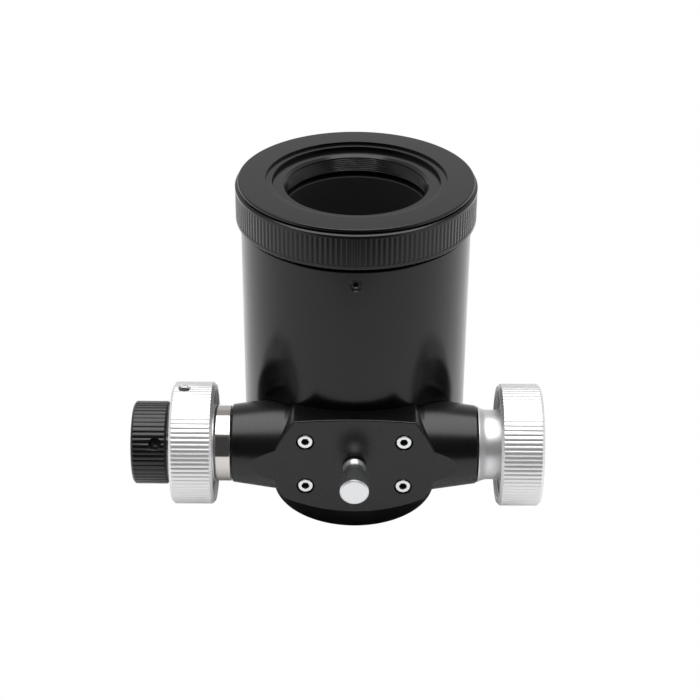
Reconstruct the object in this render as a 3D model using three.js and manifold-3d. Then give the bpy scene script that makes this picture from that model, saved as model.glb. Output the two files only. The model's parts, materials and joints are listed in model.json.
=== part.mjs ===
// A two-inch, two-speed telescope focuser with a friction drive, standing on its eyepiece end.
// Millimetres, +Z up along the optical axis, -Y towards the drive housing and its lock screw.
import * as THREE from 'three';
import { mergeVertices } from 'three/addons/utils/BufferGeometryUtils.js';
import Module from 'manifold-3d';

const wasm = await Module();
wasm.setup();

// ---- driving dimensions ----
const CLEAR_OPENING = 50.8;      // two-inch barrel size, through the whole focuser
const TUBE_WALL = 3.6;           // sliding drawtube
const ROLLER_DIAMETER = 8;       // guide ball bearings
const ROLLER_WIDTH = 3;
const ROLLER_HEADROOM = 0.85;    // between a guide bearing and the body's bore
const BODY_WALL = 3.7;
const BODY_LENGTH = 94;
const BODY_LIP = 4;              // inward lip at the body's eyepiece end
const SEAT_WALL = 2.9;           // body wall beside the coupling's spigot
const SEAT_DEPTH = 10.7;
const COUPLING_OVERHANG = 1.8;   // knurled ring proud of the body, on the radius
const COUPLING_HEIGHT = 14.9;
const COUPLING_GAP = 1.6;        // dark gap under the knurled ring
const COUPLING_LIP = 1.4;        // shoulder under the adapter
const SPIGOT_WALL = 3.5;
const ADAPTER_WALL = 4.8;
const ADAPTER_HEIGHT = 6.6;
const ADAPTER_RECESS = 2.3;      // adapter's face below the coupling's face
const RECESS_STEP = 0.9;         // depth of the ledge round the adapter
const RECESS_LEDGE = 2.5;        // width of that ledge
const COLLAR_HEIGHT = 19.5;
const COLLAR_WALL = 2.5;         // over the drawtube
const TUBE_START = 12;           // drawtube's lower end above the collar's face
const TUBE_TOP_GAP = 0.8;        // drawtube's upper end below the coupling's inner lip
const TRAVEL = 40;
const SHAFT_DIAMETER = 6;
const SHAFT_ABOVE_LIP = 14.4;    // shaft axis above the lip's upper face
const STRIP_WIDTH = 8;           // steel running strip on the drawtube
const STRIP_THICKNESS = 1.25;
const STRIP_STAND = 0.65;        // strip proud of the drawtube's radius
const FACE_FROM_SHAFT = 15.3;    // flat front of the housing ahead of the shaft axis
const HOUSING_UP = 19.8;
const HOUSING_DOWN = 19.8;
const HOUSING_ARCH = 1.4;        // rise of the housing's top edge
const HOUSING_KEEL = 58;         // radius of the housing's bottom edge
const SHOULDER_UP = 12.6;        // where the top corner chamfer ends
const CORNER_WIDTH = 3.8;
const ARM_REACH = 2.95;          // arm end beyond the body's radius
const ARM_END_DIAMETER = 28.6;
const ARM_OVERLAP = 2.9;         // how far an arm's root reaches into the block
const ARM_ROOT_DIAMETER = 34.2;
const FACE_POINT_BACK = 13.2;    // side points of the flat face, inward from the arm's end
const WINDOW_HEIGHT = 11;        // opening in the body where the shaft meets the drawtube
const BUSH_DIAMETER = 10;
const BUSH_LENGTH = 7;
const SCREW_SPACING_X = 35.4;
const SCREW_SPACING_Z = 18.9;
const SCREW_LIFT = 0.8;          // screw pattern's centre above the shaft axis
const SCREW_DIAMETER = 3;
const SCREW_HEAD_DIAMETER = 5.5;
const SCREW_HEAD_HEIGHT = 3;
const LOW_HEAD_HEIGHT = 1.6;
const SOCKET_DIAMETER = 2.9;
const LOCK_THREAD_DIAMETER = 4;
const LOCK_FLANGE_DIAMETER = 8.6;
const LOCK_WAIST_DIAMETER = 6.6;
const LOCK_HEAD_DIAMETER = 10.3;
const LOCK_HEAD_LENGTH = 15.9;
const PAD_LENGTH = 2.2;
const KNOB_DIAMETER = 44.8;
const KNOB_WIDTH = 15.5;
const KNOB_EDGE = 1;
const KNOB_DISH = 1.6;
const HUB_DIAMETER = 28;
const HUB_LENGTH_LEFT = 5.65;
const HUB_LENGTH_RIGHT = 7.5;
const HUB_NECK_DIAMETER = 25.6;
const FINE_DIAMETER = 30.4;
const FINE_WIDTH = 12.95;
const FINE_GAP = 1.4;            // between the coarse and the fine knob
const BALL_DIAMETER = 4;
const BALL_COUNT = 4;
const SLEEVE_WALL = 2.8;         // ball cage's sleeve around the fine shaft
const GRUB_DIAMETER = 4;
const RAIL_ANGLE = 40;           // guide rails either side of the back, degrees
const RAIL_WIDTH = 10;
const RAIL_TOP_GAP = 5;          // rail's upper end below the coupling's seat
const RAIL_SCREW_INSET = 20;
const ROLLER_INSET = 8;          // bearing axis from the rail's end
const AXLE_DIAMETER = 3;
const BAND_HEIGHT = 5;           // brass compression band
const BAND_THICKNESS = 1.5;
const BAND_START = 5;
const CLAMP_ANGLE = 45;          // clamp screws either side of the back, degrees
const CLAMP_DIAMETER = 3;
const CLAMP_HEAD_DIAMETER = 8.4;
const CLAMP_HEAD_LENGTH = 9;
const STOP_DIAMETER = 4;
const COUPLING_GRUB_DEPTH = 5.3; // grub screw below the body's upper end

const RUN_GAP = 0.3;             // between parts that turn or slide past each other
const FIT_GAP = 0.05;            // between parts that are screwed or pressed together
const ROLL_GAP = 0.15;           // at rolling and friction contacts
const BORE_GAP = 0.1;            // radial play of a pin or shaft in its bore

const BIG = 48;                  // facets round the large rings
const MID = 24;
const SMALL = 10;

// ---- worked-out radii and heights ----
const clearRadius = CLEAR_OPENING / 2;
const tubeRadius = clearRadius + TUBE_WALL;
const rollerAxisRadius = tubeRadius + ROLL_GAP + ROLLER_DIAMETER / 2;
const boreRadius = tubeRadius + ROLL_GAP + ROLLER_DIAMETER + ROLLER_HEADROOM;
const bodyRadius = boreRadius + BODY_WALL;
const seatRadius = bodyRadius - SEAT_WALL;
const spigotRadius = seatRadius - RUN_GAP;
const couplingRadius = bodyRadius + COUPLING_OVERHANG;
const adapterRadius = clearRadius + ADAPTER_WALL;
const collarRadius = tubeRadius + COLLAR_WALL;
const stripFront = tubeRadius + STRIP_STAND;
const lipRadius = Math.hypot(stripFront, STRIP_WIDTH / 2) + RUN_GAP + 0.2;

const bodyBottom = COLLAR_HEIGHT + RUN_GAP + 0.2;
const lipTop = bodyBottom + BODY_LIP;
const bodyTop = bodyBottom + BODY_LENGTH;
const seatBottom = bodyTop - SEAT_DEPTH;
const couplingBottom = bodyTop + COUPLING_GAP;
const couplingTop = couplingBottom + COUPLING_HEIGHT;
const adapterTop = couplingTop - ADAPTER_RECESS;
const adapterBottom = adapterTop - ADAPTER_HEIGHT;
const innerLipBottom = adapterBottom - COUPLING_LIP;
const tubeTop = innerLipBottom - TUBE_TOP_GAP;

const shaftRadius = SHAFT_DIAMETER / 2;
const shaftY = -(stripFront + ROLL_GAP + shaftRadius);
const shaftZ = lipTop + SHAFT_ABOVE_LIP;
const faceY = shaftY - FACE_FROM_SHAFT;
const blockHalf = Math.sqrt(bodyRadius ** 2 - shaftY ** 2);
const armEnd = bodyRadius + ARM_REACH;
const hubStartLeft = armEnd + RUN_GAP;
const knobStartLeft = hubStartLeft + HUB_LENGTH_LEFT + RUN_GAP;
const knobEndLeft = knobStartLeft + KNOB_WIDTH;
const knobStartRight = armEnd + RUN_GAP + HUB_LENGTH_RIGHT;
const knobEndRight = knobStartRight + KNOB_WIDTH;
const fineStart = knobEndLeft + FINE_GAP;
const fineEnd = fineStart + FINE_WIDTH;
const sleeveRadius = shaftRadius + SLEEVE_WALL;
const ballOrbit = shaftRadius + BALL_DIAMETER / 2 + BORE_GAP / 2;
const raceRadius = ballOrbit + BALL_DIAMETER / 2 + ROLL_GAP;
const railBottom = lipTop + 1;
const railTop = seatBottom - RAIL_TOP_GAP;
const railInner = tubeRadius + 2;
const railOuter = Math.sqrt(boreRadius ** 2 - (RAIL_WIDTH / 2) ** 2) - RUN_GAP;
const stopZ = lipTop + TRAVEL + STOP_DIAMETER / 2 + 0.5;
const clampZ = BAND_START + BAND_HEIGHT / 2;

// ---- materials ----
const finish = (color, roughness, metalness) =>
  new THREE.MeshStandardMaterial({ color, roughness, metalness });
const blackAnodised = finish(0x1c1c1e, 0.42, 0.6);
const silverAnodised = finish(0xd6d8d8, 0.32, 0.9);
const brightSteel = finish(0xe2e4e6, 0.2, 1);
const darkSteel = finish(0x3a3b3e, 0.4, 0.9);
const brass = finish(0xb89a55, 0.35, 1);
const nylon = finish(0xe9e6dc, 0.6, 0);

// ---- shapes ----
const solid = (geometry) => {
  const bare = geometry.index ? geometry.toNonIndexed() : geometry;
  bare.deleteAttribute('normal');
  bare.deleteAttribute('uv');
  const welded = mergeVertices(bare, 1e-4);
  const corners = welded.index.array;
  const kept = [];
  for (let i = 0; i < corners.length; i += 3) {
    const [a, b, c] = corners.subarray(i, i + 3);
    if (a !== b && b !== c && c !== a) kept.push(a, b, c);
  }
  welded.setIndex(kept);
  return welded;
};
const toManifold = (geometry) => {
  const closed = solid(geometry);
  return new wasm.Manifold(new wasm.Mesh({
    numProp: 3,
    vertProperties: new Float32Array(closed.attributes.position.array),
    triVerts: new Uint32Array(closed.index.array),
  }));
};
const fromManifold = (manifold) => {
  const mesh = manifold.getMesh();
  const geometry = new THREE.BufferGeometry();
  geometry.setAttribute('position', new THREE.BufferAttribute(mesh.vertProperties, 3));
  geometry.setIndex(new THREE.BufferAttribute(mesh.triVerts, 1));
  return geometry;
};
const cut = (base, ...tools) =>
  fromManifold(tools.reduce((left, tool) => left.subtract(toManifold(tool)), toManifold(base)));
const join = (...pieces) =>
  fromManifold(pieces.map(toManifold).reduce((left, piece) => left.add(piece)));
const keep = (base, tool) => fromManifold(toManifold(base).intersect(toManifold(tool)));

// A solid of revolution about +Z. The outline is [radius, height] points, counter-clockwise with
// radius to the right, closed on itself or with both ends on the axis.
const turned = (outline, facets) => {
  const onAxis = outline[0][0] === 0 && outline.at(-1)[0] === 0;
  const loop = onAxis ? outline : [...outline, outline[0]];
  const points = loop.map(([radius, height]) => new THREE.Vector2(radius, height));
  return solid(new THREE.LatheGeometry(points, facets).rotateX(Math.PI / 2));
};
const rod = (radius, from, to, facets) =>
  turned([[0, from], [radius, from], [radius, to], [0, to]], facets);
const tube = (inner, outer, from, to, facets) =>
  turned([[inner, from], [outer, from], [outer, to], [inner, to]], facets);
const box = (x0, x1, y0, y1, z0, z1) =>
  new THREE.BoxGeometry(x1 - x0, y1 - y0, z1 - z0)
    .translate((x0 + x1) / 2, (y0 + y1) / 2, (z0 + z1) / 2);
const hexagon = (across, from, to) => rod(across / Math.sqrt(3), from, to, 6);

// Lays a shape made about +Z along another direction: heights then run along +X, -X, -Y or
// outwards from the optical axis at an angle measured from +Y.
const alongX = (geometry) => geometry.rotateY(Math.PI / 2).translate(0, shaftY, shaftZ);
const alongMinusX = (geometry) => geometry.rotateY(-Math.PI / 2).translate(0, shaftY, shaftZ);
const alongMinusY = (geometry, x, z) => geometry.rotateX(Math.PI / 2).translate(x, 0, z);
const outwards = (geometry, degrees, z) =>
  geometry.rotateX(-Math.PI / 2).rotateZ(THREE.MathUtils.degToRad(degrees)).translate(0, 0, z);

// A socket screw with its head's seat at height 0, its thread below and its head above.
const socketScrew = (radius, length, headRadius, headHeight, facets = SMALL) =>
  cut(
    turned([[0, -length], [radius, -length], [radius, 0], [headRadius, 0],
      [headRadius, headHeight - 0.3], [headRadius - 0.3, headHeight], [0, headHeight]], facets),
    hexagon(SOCKET_DIAMETER, headHeight * 0.45, headHeight + 1),
  );
// A grub screw between two heights, with its socket in the upper end.
const grubScrew = (from, to) =>
  cut(
    turned([[0, from], [GRUB_DIAMETER / 2 - 0.7, from], [GRUB_DIAMETER / 2, from + 0.7],
      [GRUB_DIAMETER / 2, to], [0, to]], SMALL),
    hexagon(GRUB_DIAMETER / 2, to - 1.5, to + 1),
  );
const grubHole = (from, to) => rod(GRUB_DIAMETER / 2 + BORE_GAP, from, to, SMALL);

const assembly = new THREE.Group();
const add = (name, geometry, material) => {
  const mesh = new THREE.Mesh(solid(geometry), material);
  mesh.name = name;
  assembly.add(mesh);
};

// ---- body: a thick tube with an inward lip, a window for the shaft and tapped holes ----
const railScrewHeights = [railBottom + RAIL_SCREW_INSET, railTop - RAIL_SCREW_INSET];
const railSides = [['left', RAIL_ANGLE], ['right', -RAIL_ANGLE]];
const railHeadSeat = bodyRadius - LOW_HEAD_HEIGHT - 0.5;
const housingScrews = [];
for (const [level, up] of [['upper', 1], ['lower', -1]]) {
  for (const [side, right] of [['left', -1], ['right', 1]]) {
    const x = right * SCREW_SPACING_X / 2;
    const z = shaftZ + SCREW_LIFT + up * SCREW_SPACING_Z / 2;
    housingScrews.push({ name: `housing_screw_${level}_${side}`, x, z });
  }
}
const wallAtScrew = Math.sqrt(boreRadius ** 2 - (SCREW_SPACING_X / 2) ** 2);
const screwTip = wallAtScrew + 0.8;
const couplingGrubZ = bodyTop - COUPLING_GRUB_DEPTH;

const bodyCuts = [
  box(-blockHalf - RUN_GAP, blockHalf + RUN_GAP, -bodyRadius - 1, -stripFront,
    shaftZ - WINDOW_HEIGHT / 2, shaftZ + WINDOW_HEIGHT / 2),
  alongX(rod(shaftRadius + RUN_GAP, -bodyRadius, bodyRadius, MID)),
  alongMinusY(grubHole(boreRadius - 2, bodyRadius + 1), 0, couplingGrubZ),
];
for (const { x, z } of housingScrews) {
  const hole = rod(SCREW_DIAMETER / 2 + BORE_GAP, wallAtScrew - 4, bodyRadius + 1, SMALL);
  bodyCuts.push(alongMinusY(hole, x, z));
}
for (const [, angle] of railSides) {
  for (const z of railScrewHeights) {
    const shank = rod(SCREW_DIAMETER / 2 + BORE_GAP, boreRadius - 2, bodyRadius + 1, SMALL);
    const head = rod(SCREW_HEAD_DIAMETER / 2 + RUN_GAP, railHeadSeat - FIT_GAP, bodyRadius + 1, SMALL);
    bodyCuts.push(outwards(shank, angle, z), outwards(head, angle, z));
  }
}
const bodyOutline = [
  [lipRadius, bodyBottom], [bodyRadius - 0.6, bodyBottom], [bodyRadius, bodyBottom + 0.6],
  [bodyRadius, bodyTop - 0.4], [bodyRadius - 0.4, bodyTop], [seatRadius, bodyTop],
  [seatRadius, seatBottom], [boreRadius, seatBottom], [boreRadius, lipTop], [lipRadius, lipTop],
];
add('body_barrel', cut(turned(bodyOutline, BIG), ...bodyCuts), blackAnodised);
add('coupling_grub_screw',
  alongMinusY(grubScrew(spigotRadius - 0.4, bodyRadius - 0.6), 0, couplingGrubZ), darkSteel);

// ---- coupling: a knurled ring whose grooved spigot turns in the body ----
const grooveDepth = 1.2;
const grooveHalf = GRUB_DIAMETER / 2 + 0.4;
const couplingOutline = [
  [spigotRadius - SPIGOT_WALL, seatBottom + RUN_GAP], [spigotRadius, seatBottom + RUN_GAP],
  [spigotRadius, couplingGrubZ - grooveHalf], [spigotRadius - grooveDepth, couplingGrubZ - grooveHalf],
  [spigotRadius - grooveDepth, couplingGrubZ + grooveHalf], [spigotRadius, couplingGrubZ + grooveHalf],
  [spigotRadius, couplingBottom], [couplingRadius - 0.5, couplingBottom],
  [couplingRadius, couplingBottom + 0.5], [couplingRadius, couplingTop - 2.1],
  [couplingRadius - 1.2, couplingTop - 1.4], [couplingRadius - 1.5, couplingTop - 1.4],
  [couplingRadius - 1.5, couplingTop - 0.9], [couplingRadius - 0.9, couplingTop - 0.9],
  [couplingRadius - 0.9, couplingTop - 0.3], [couplingRadius - 1.2, couplingTop],
  [adapterRadius + RECESS_LEDGE, couplingTop], [adapterRadius + RECESS_LEDGE, couplingTop - RECESS_STEP],
  [adapterRadius + FIT_GAP, couplingTop - RECESS_STEP],
  [adapterRadius + FIT_GAP, adapterBottom - FIT_GAP], [adapterRadius - 1.8, adapterBottom - FIT_GAP],
  [adapterRadius - 1.8, innerLipBottom], [spigotRadius - SPIGOT_WALL, innerLipBottom],
];
add('coupling_ring', turned(couplingOutline, BIG), blackAnodised);
const adapterOutline = [
  [clearRadius, adapterBottom], [adapterRadius, adapterBottom], [adapterRadius, adapterTop],
  [clearRadius + 0.8, adapterTop], [clearRadius, adapterTop - 0.8],
];
add('adapter_ring', turned(adapterOutline, BIG), blackAnodised);

// ---- drawtube: slides down out of the body, with a steel strip that the shaft drives ----
const stripBack = stripFront - STRIP_THICKNESS;
const stripStart = lipTop + 1;
const stripEnd = tubeTop - 3;
const stripBed = box(-STRIP_WIDTH / 2 - BORE_GAP, STRIP_WIDTH / 2 + BORE_GAP, -tubeRadius - 1,
  -stripBack + FIT_GAP, stripStart - BORE_GAP, stripEnd + BORE_GAP);
const stopHole = outwards(rod(1.2, clearRadius + 1, tubeRadius + 1, SMALL), 0, stopZ);
const drawtube = tube(clearRadius, tubeRadius, TUBE_START + FIT_GAP, tubeTop, BIG);
add('drawtube', cut(drawtube, stripBed, stopHole), blackAnodised);
add('running_strip', box(-STRIP_WIDTH / 2, STRIP_WIDTH / 2, -stripFront, -stripBack,
  stripStart, stripEnd), brightSteel);
const stopOutline = [
  [0, clearRadius + 1.2], [1.1, clearRadius + 1.2], [1.1, tubeRadius + FIT_GAP * 2],
  [STOP_DIAMETER / 2, tubeRadius + FIT_GAP * 2], [STOP_DIAMETER / 2, tubeRadius + 1.7],
  [0, tubeRadius + 1.7],
];
add('stop_screw', outwards(turned(stopOutline, SMALL), 0, stopZ), darkSteel);

// ---- eyepiece collar on the drawtube's lower end, with a split brass band inside ----
const bandOuter = clearRadius + BAND_THICKNESS;
const bandTop = BAND_START + BAND_HEIGHT;
const collarOutline = [
  [clearRadius + 0.6, 0], [collarRadius - 0.8, 0], [collarRadius, 0.8],
  [collarRadius, COLLAR_HEIGHT - 0.5], [collarRadius - 0.5, COLLAR_HEIGHT],
  [tubeRadius + FIT_GAP, COLLAR_HEIGHT], [tubeRadius + FIT_GAP, TUBE_START],
  [clearRadius, TUBE_START], [clearRadius, bandTop + BORE_GAP],
  [bandOuter + BORE_GAP, bandTop + BORE_GAP], [bandOuter + BORE_GAP, BAND_START - BORE_GAP],
  [clearRadius, BAND_START - BORE_GAP], [clearRadius, 0.6],
];
const clampSides = [['left', CLAMP_ANGLE], ['right', -CLAMP_ANGLE]];
const clampHoles = clampSides.map(([, angle]) =>
  outwards(rod(CLAMP_DIAMETER / 2 + BORE_GAP, bandOuter - 0.5, collarRadius + 1, SMALL), angle, clampZ));
add('eyepiece_collar', cut(turned(collarOutline, BIG), ...clampHoles), blackAnodised);
const band = tube(clearRadius, bandOuter, BAND_START, bandTop, BIG);
add('compression_band', cut(band, box(-1.5, 1.5, -bandOuter - 1, 0, 0, TUBE_START)), brass);
const clampTip = bandOuter + BORE_GAP * 3;
const clampHeadStart = collarRadius + 1;
const clampHead = CLAMP_HEAD_DIAMETER / 2;
const clampOutline = [
  [0, clampTip], [CLAMP_DIAMETER / 2, clampTip], [CLAMP_DIAMETER / 2, clampHeadStart],
  [clampHead * 0.7, clampHeadStart], [clampHead, clampHeadStart + CLAMP_HEAD_LENGTH * 0.4],
  [clampHead, clampHeadStart + CLAMP_HEAD_LENGTH - 0.6],
  [clampHead - 0.6, clampHeadStart + CLAMP_HEAD_LENGTH], [0, clampHeadStart + CLAMP_HEAD_LENGTH],
];
for (const [side, angle] of clampSides) {
  add(`clamp_screw_${side}`, outwards(turned(clampOutline, SMALL), angle, clampZ), brightSteel);
}

// ---- guide rails at the back, each with two ball bearings that the drawtube rolls on ----
const rollerHeights = [['upper', railTop - ROLLER_INSET], ['lower', railBottom + ROLLER_INSET]];
const axleRadius = AXLE_DIAMETER / 2;
const acrossRail = (geometry, angle, z) => geometry.rotateY(Math.PI / 2)
  .translate(0, rollerAxisRadius, 0).rotateZ(THREE.MathUtils.degToRad(angle)).translate(0, 0, z);
for (const [side, angle] of railSides) {
  const turn = THREE.MathUtils.degToRad(angle);
  const rail = box(-RAIL_WIDTH / 2, RAIL_WIDTH / 2, railInner, railOuter, railBottom, railTop)
    .rotateZ(turn);
  const railCuts = [];
  for (const [, z] of rollerHeights) {
    const slotHalf = ROLLER_WIDTH / 2 + RUN_GAP;
    const slotReach = ROLLER_DIAMETER / 2 + RUN_GAP * 2;
    railCuts.push(box(-slotHalf, slotHalf, railInner - 1, railOuter + 1, z - slotReach, z + slotReach)
      .rotateZ(turn));
    railCuts.push(acrossRail(rod(axleRadius + BORE_GAP, -RAIL_WIDTH, RAIL_WIDTH, SMALL), angle, z));
  }
  for (const z of railScrewHeights) {
    railCuts.push(outwards(rod(SCREW_DIAMETER / 2 + BORE_GAP, railInner + 1, railOuter + 1, SMALL),
      angle, z));
  }
  add(`guide_rail_${side}`, cut(rail, ...railCuts), blackAnodised);
  railScrewHeights.forEach((z, index) => {
    const length = railHeadSeat - railInner - 1.5;
    const screw = socketScrew(SCREW_DIAMETER / 2, length, SCREW_HEAD_DIAMETER / 2, LOW_HEAD_HEIGHT);
    const name = `rail_screw_${['lower', 'upper'][index]}_${side}`;
    add(name, outwards(screw.translate(0, 0, railHeadSeat), angle, z), darkSteel);
  });
  for (const [level, z] of rollerHeights) {
    const half = RAIL_WIDTH / 2 - 0.2;
    add(`roller_axle_${level}_${side}`, acrossRail(rod(axleRadius, -half, half, SMALL), angle, z),
      brightSteel);
    const roller = tube(axleRadius + BORE_GAP, ROLLER_DIAMETER / 2, -ROLLER_WIDTH / 2,
      ROLLER_WIDTH / 2, SMALL * 2);
    add(`guide_roller_${level}_${side}`, acrossRail(roller, angle, z), brightSteel);
  }
}

// ---- drive housing: a block with two tapering arms, hollowed to sit on the body ----
const archRadius = (blockHalf ** 2 + HOUSING_ARCH ** 2) / (2 * HOUSING_ARCH);
const topHalf = blockHalf - CORNER_WIDTH;
const ARC_STEPS = 8;
const keelPoint = (x) =>
  shaftZ - HOUSING_DOWN + HOUSING_KEEL - Math.sqrt(HOUSING_KEEL ** 2 - x ** 2);
const archPoint = (x) => shaftZ + HOUSING_UP - archRadius + Math.sqrt(archRadius ** 2 - x ** 2);
const sweep = (from, to, height) => Array.from({ length: ARC_STEPS + 1 }, (_, i) => {
  const x = from + (to - from) * i / ARC_STEPS;
  return new THREE.Vector2(x, height(x));
});
// An outline in x and z, extruded along Y between two planes.
const slab = (points, front, back) =>
  new THREE.ExtrudeGeometry(new THREE.Shape(points), { depth: back - front, bevelEnabled: false })
    .rotateX(Math.PI / 2).translate(0, back, 0);
const blockOutline = [
  ...sweep(-blockHalf, blockHalf, keelPoint),
  new THREE.Vector2(blockHalf, shaftZ + SHOULDER_UP),
  ...sweep(topHalf, -topHalf, archPoint),
  new THREE.Vector2(-blockHalf, shaftZ + SHOULDER_UP),
];
const sidePoint = armEnd - FACE_POINT_BACK;
const faceOutline = [
  ...sweep(-blockHalf, blockHalf, keelPoint),
  new THREE.Vector2(sidePoint, shaftZ - 2), new THREE.Vector2(sidePoint, shaftZ + 2),
  new THREE.Vector2(blockHalf, shaftZ + SHOULDER_UP),
  ...sweep(topHalf, -topHalf, archPoint),
  new THREE.Vector2(-blockHalf, shaftZ + SHOULDER_UP),
  new THREE.Vector2(-sidePoint, shaftZ + 2), new THREE.Vector2(-sidePoint, shaftZ - 2),
];
const armRoot = ARM_ROOT_DIAMETER / 2;
const armTip = ARM_END_DIAMETER / 2;
const arm = () => turned([[0, blockHalf - ARM_OVERLAP], [armRoot, blockHalf - ARM_OVERLAP],
  [armRoot, blockHalf - 0.5], [armTip, armEnd - 0.6], [armTip - 0.6, armEnd], [0, armEnd]], MID * 2);
const behindFace = box(-armEnd - 1, armEnd + 1, faceY, 0, 0, bodyTop);
const faceDepth = 4;
const bossHalf = WINDOW_HEIGHT / 2 - RUN_GAP;
const headSeatY = -faceY - SCREW_HEAD_HEIGHT - 0.2;
const housingShell = cut(
  join(slab(blockOutline, faceY, shaftY), slab(faceOutline, faceY, faceY + faceDepth),
    alongX(arm()), alongMinusX(arm())),
  rod(bodyRadius + RUN_GAP, 0, bodyTop, BIG),
);
const boss = box(-blockHalf, blockHalf, -bodyRadius - 2, -stripFront - RUN_GAP,
  shaftZ - bossHalf, shaftZ + bossHalf);
const housingCuts = [
  alongX(rod(shaftRadius + RUN_GAP, -armEnd - 1, armEnd + 1, MID)),
  alongX(rod(BUSH_DIAMETER / 2 + FIT_GAP, armEnd - BUSH_LENGTH - RUN_GAP, armEnd + 1, MID)),
  alongMinusX(rod(BUSH_DIAMETER / 2 + FIT_GAP, armEnd - BUSH_LENGTH - RUN_GAP, armEnd + 1, MID)),
  alongMinusY(rod(LOCK_THREAD_DIAMETER / 2 + BORE_GAP, -shaftY, -faceY + 1, SMALL), 0, shaftZ),
];
for (const { x, z } of housingScrews) {
  const shank = rod(SCREW_DIAMETER / 2 + BORE_GAP, 20, -faceY + 1, SMALL);
  const head = rod(SCREW_HEAD_DIAMETER / 2 + RUN_GAP, headSeatY - FIT_GAP, -faceY + 1, SMALL);
  housingCuts.push(alongMinusY(shank, x, z), alongMinusY(head, x, z));
}
add('drive_housing', cut(keep(join(housingShell, boss), behindFace), ...housingCuts), blackAnodised);
for (const { name, x, z } of housingScrews) {
  const screw = socketScrew(SCREW_DIAMETER / 2, headSeatY - screwTip, SCREW_HEAD_DIAMETER / 2,
    SCREW_HEAD_HEIGHT);
  add(name, alongMinusY(screw.translate(0, 0, headSeatY), x, z), brightSteel);
}
const bush = () => tube(shaftRadius + BORE_GAP, BUSH_DIAMETER / 2, armEnd - BUSH_LENGTH,
  armEnd - 0.2, MID);
add('shaft_bush_left', alongMinusX(bush()), brass);
add('shaft_bush_right', alongX(bush()), brass);

// ---- lock screw: presses a nylon pad against the shaft ----
const padFrom = -shaftY + shaftRadius + ROLL_GAP;
const padTo = padFrom + PAD_LENGTH;
const lockFrom = padTo + FIT_GAP * 2;
const lockSeat = -faceY + 0.6;
const lockTo = lockSeat + LOCK_HEAD_LENGTH;
const lockFlange = LOCK_FLANGE_DIAMETER / 2;
const lockWaist = LOCK_WAIST_DIAMETER / 2;
const lockHead = LOCK_HEAD_DIAMETER / 2;
const lockOutline = [
  [0, lockFrom], [LOCK_THREAD_DIAMETER / 2, lockFrom], [LOCK_THREAD_DIAMETER / 2, lockSeat],
  [lockFlange, lockSeat], [lockFlange, lockSeat + 0.8], [lockWaist, lockSeat + 3],
  [lockWaist, lockSeat + 4], [lockHead, lockSeat + 7.5], [lockHead, lockTo - 0.5],
  [lockHead - 0.5, lockTo], [0, lockTo],
];
add('lock_screw', alongMinusY(turned(lockOutline, MID), 0, shaftZ), brightSteel);
add('lock_pad', alongMinusY(rod(LOCK_THREAD_DIAMETER / 2 - 0.1, padFrom, padTo, SMALL), 0, shaftZ),
  nylon);

// ---- focus shaft with its two coarse knobs ----
const shaftLeftEnd = -hubStartLeft - 0.2;
add('focus_shaft', alongX(rod(shaftRadius, shaftLeftEnd, knobEndRight - 1.5, MID)), brightSteel);
const knobRadius = KNOB_DIAMETER / 2;
const dishOuter = knobRadius - 2.6;
const grubRight = knobStartRight + KNOB_WIDTH * 0.5;
const grubLeft = knobStartLeft + KNOB_WIDTH * 0.7;
const knobRim = (start, end, boreFrom, boreTo) => [
  [knobRadius - KNOB_EDGE, start], [knobRadius, start + KNOB_EDGE], [knobRadius, end - KNOB_EDGE],
  [knobRadius - KNOB_EDGE, end], [dishOuter, end], [dishOuter, end - KNOB_DISH],
  [boreFrom, end - KNOB_DISH], ...boreTo,
];
const hubRadius = HUB_DIAMETER / 2;
const hubNeck = HUB_NECK_DIAMETER / 2;
const hubBottom = armEnd + RUN_GAP;
const rightOutline = [
  [shaftRadius + FIT_GAP, hubBottom], [hubRadius, hubBottom], [hubRadius - 0.6, hubBottom + 1],
  [hubNeck, hubBottom + 2.6], [hubNeck, knobStartRight + KNOB_DISH],
  [dishOuter, knobStartRight + KNOB_DISH],
  [dishOuter, knobStartRight],
  ...knobRim(knobStartRight, knobEndRight, shaftRadius + FIT_GAP, []),
];
const leftOutline = [
  [sleeveRadius + FIT_GAP, knobStartLeft], [hubRadius, knobStartLeft],
  [hubRadius, knobStartLeft + KNOB_DISH], [dishOuter, knobStartLeft + KNOB_DISH],
  [dishOuter, knobStartLeft],
  ...knobRim(knobStartLeft, knobEndLeft, sleeveRadius + FIT_GAP, []),
];
// A radial hole or grub screw in a knob, at a distance from the object's middle plane and an angle
// measured from straight up towards the front.
const radial = (geometry, x, tilt) => geometry.rotateX(THREE.MathUtils.degToRad(tilt))
  .translate(x, shaftY, shaftZ);
const TOP_TILT = -4;
const UNDER_TILT = 184;
const FRONT_TILT = 60;
add('coarse_knob_right', cut(alongX(turned(rightOutline, MID)),
  radial(grubHole(shaftRadius - 1, knobRadius + 1), grubRight, UNDER_TILT)), silverAnodised);
add('coarse_knob_left', cut(alongMinusX(turned(leftOutline, MID)),
  radial(grubHole(sleeveRadius - 1, knobRadius + 1), -grubLeft, TOP_TILT)), silverAnodised);
add('knob_grub_right', radial(grubScrew(shaftRadius + 0.2, knobRadius - 3), grubRight, UNDER_TILT),
  darkSteel);
add('knob_grub_left', radial(grubScrew(sleeveRadius + 0.2, knobRadius - 3), -grubLeft, TOP_TILT),
  darkSteel);

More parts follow.
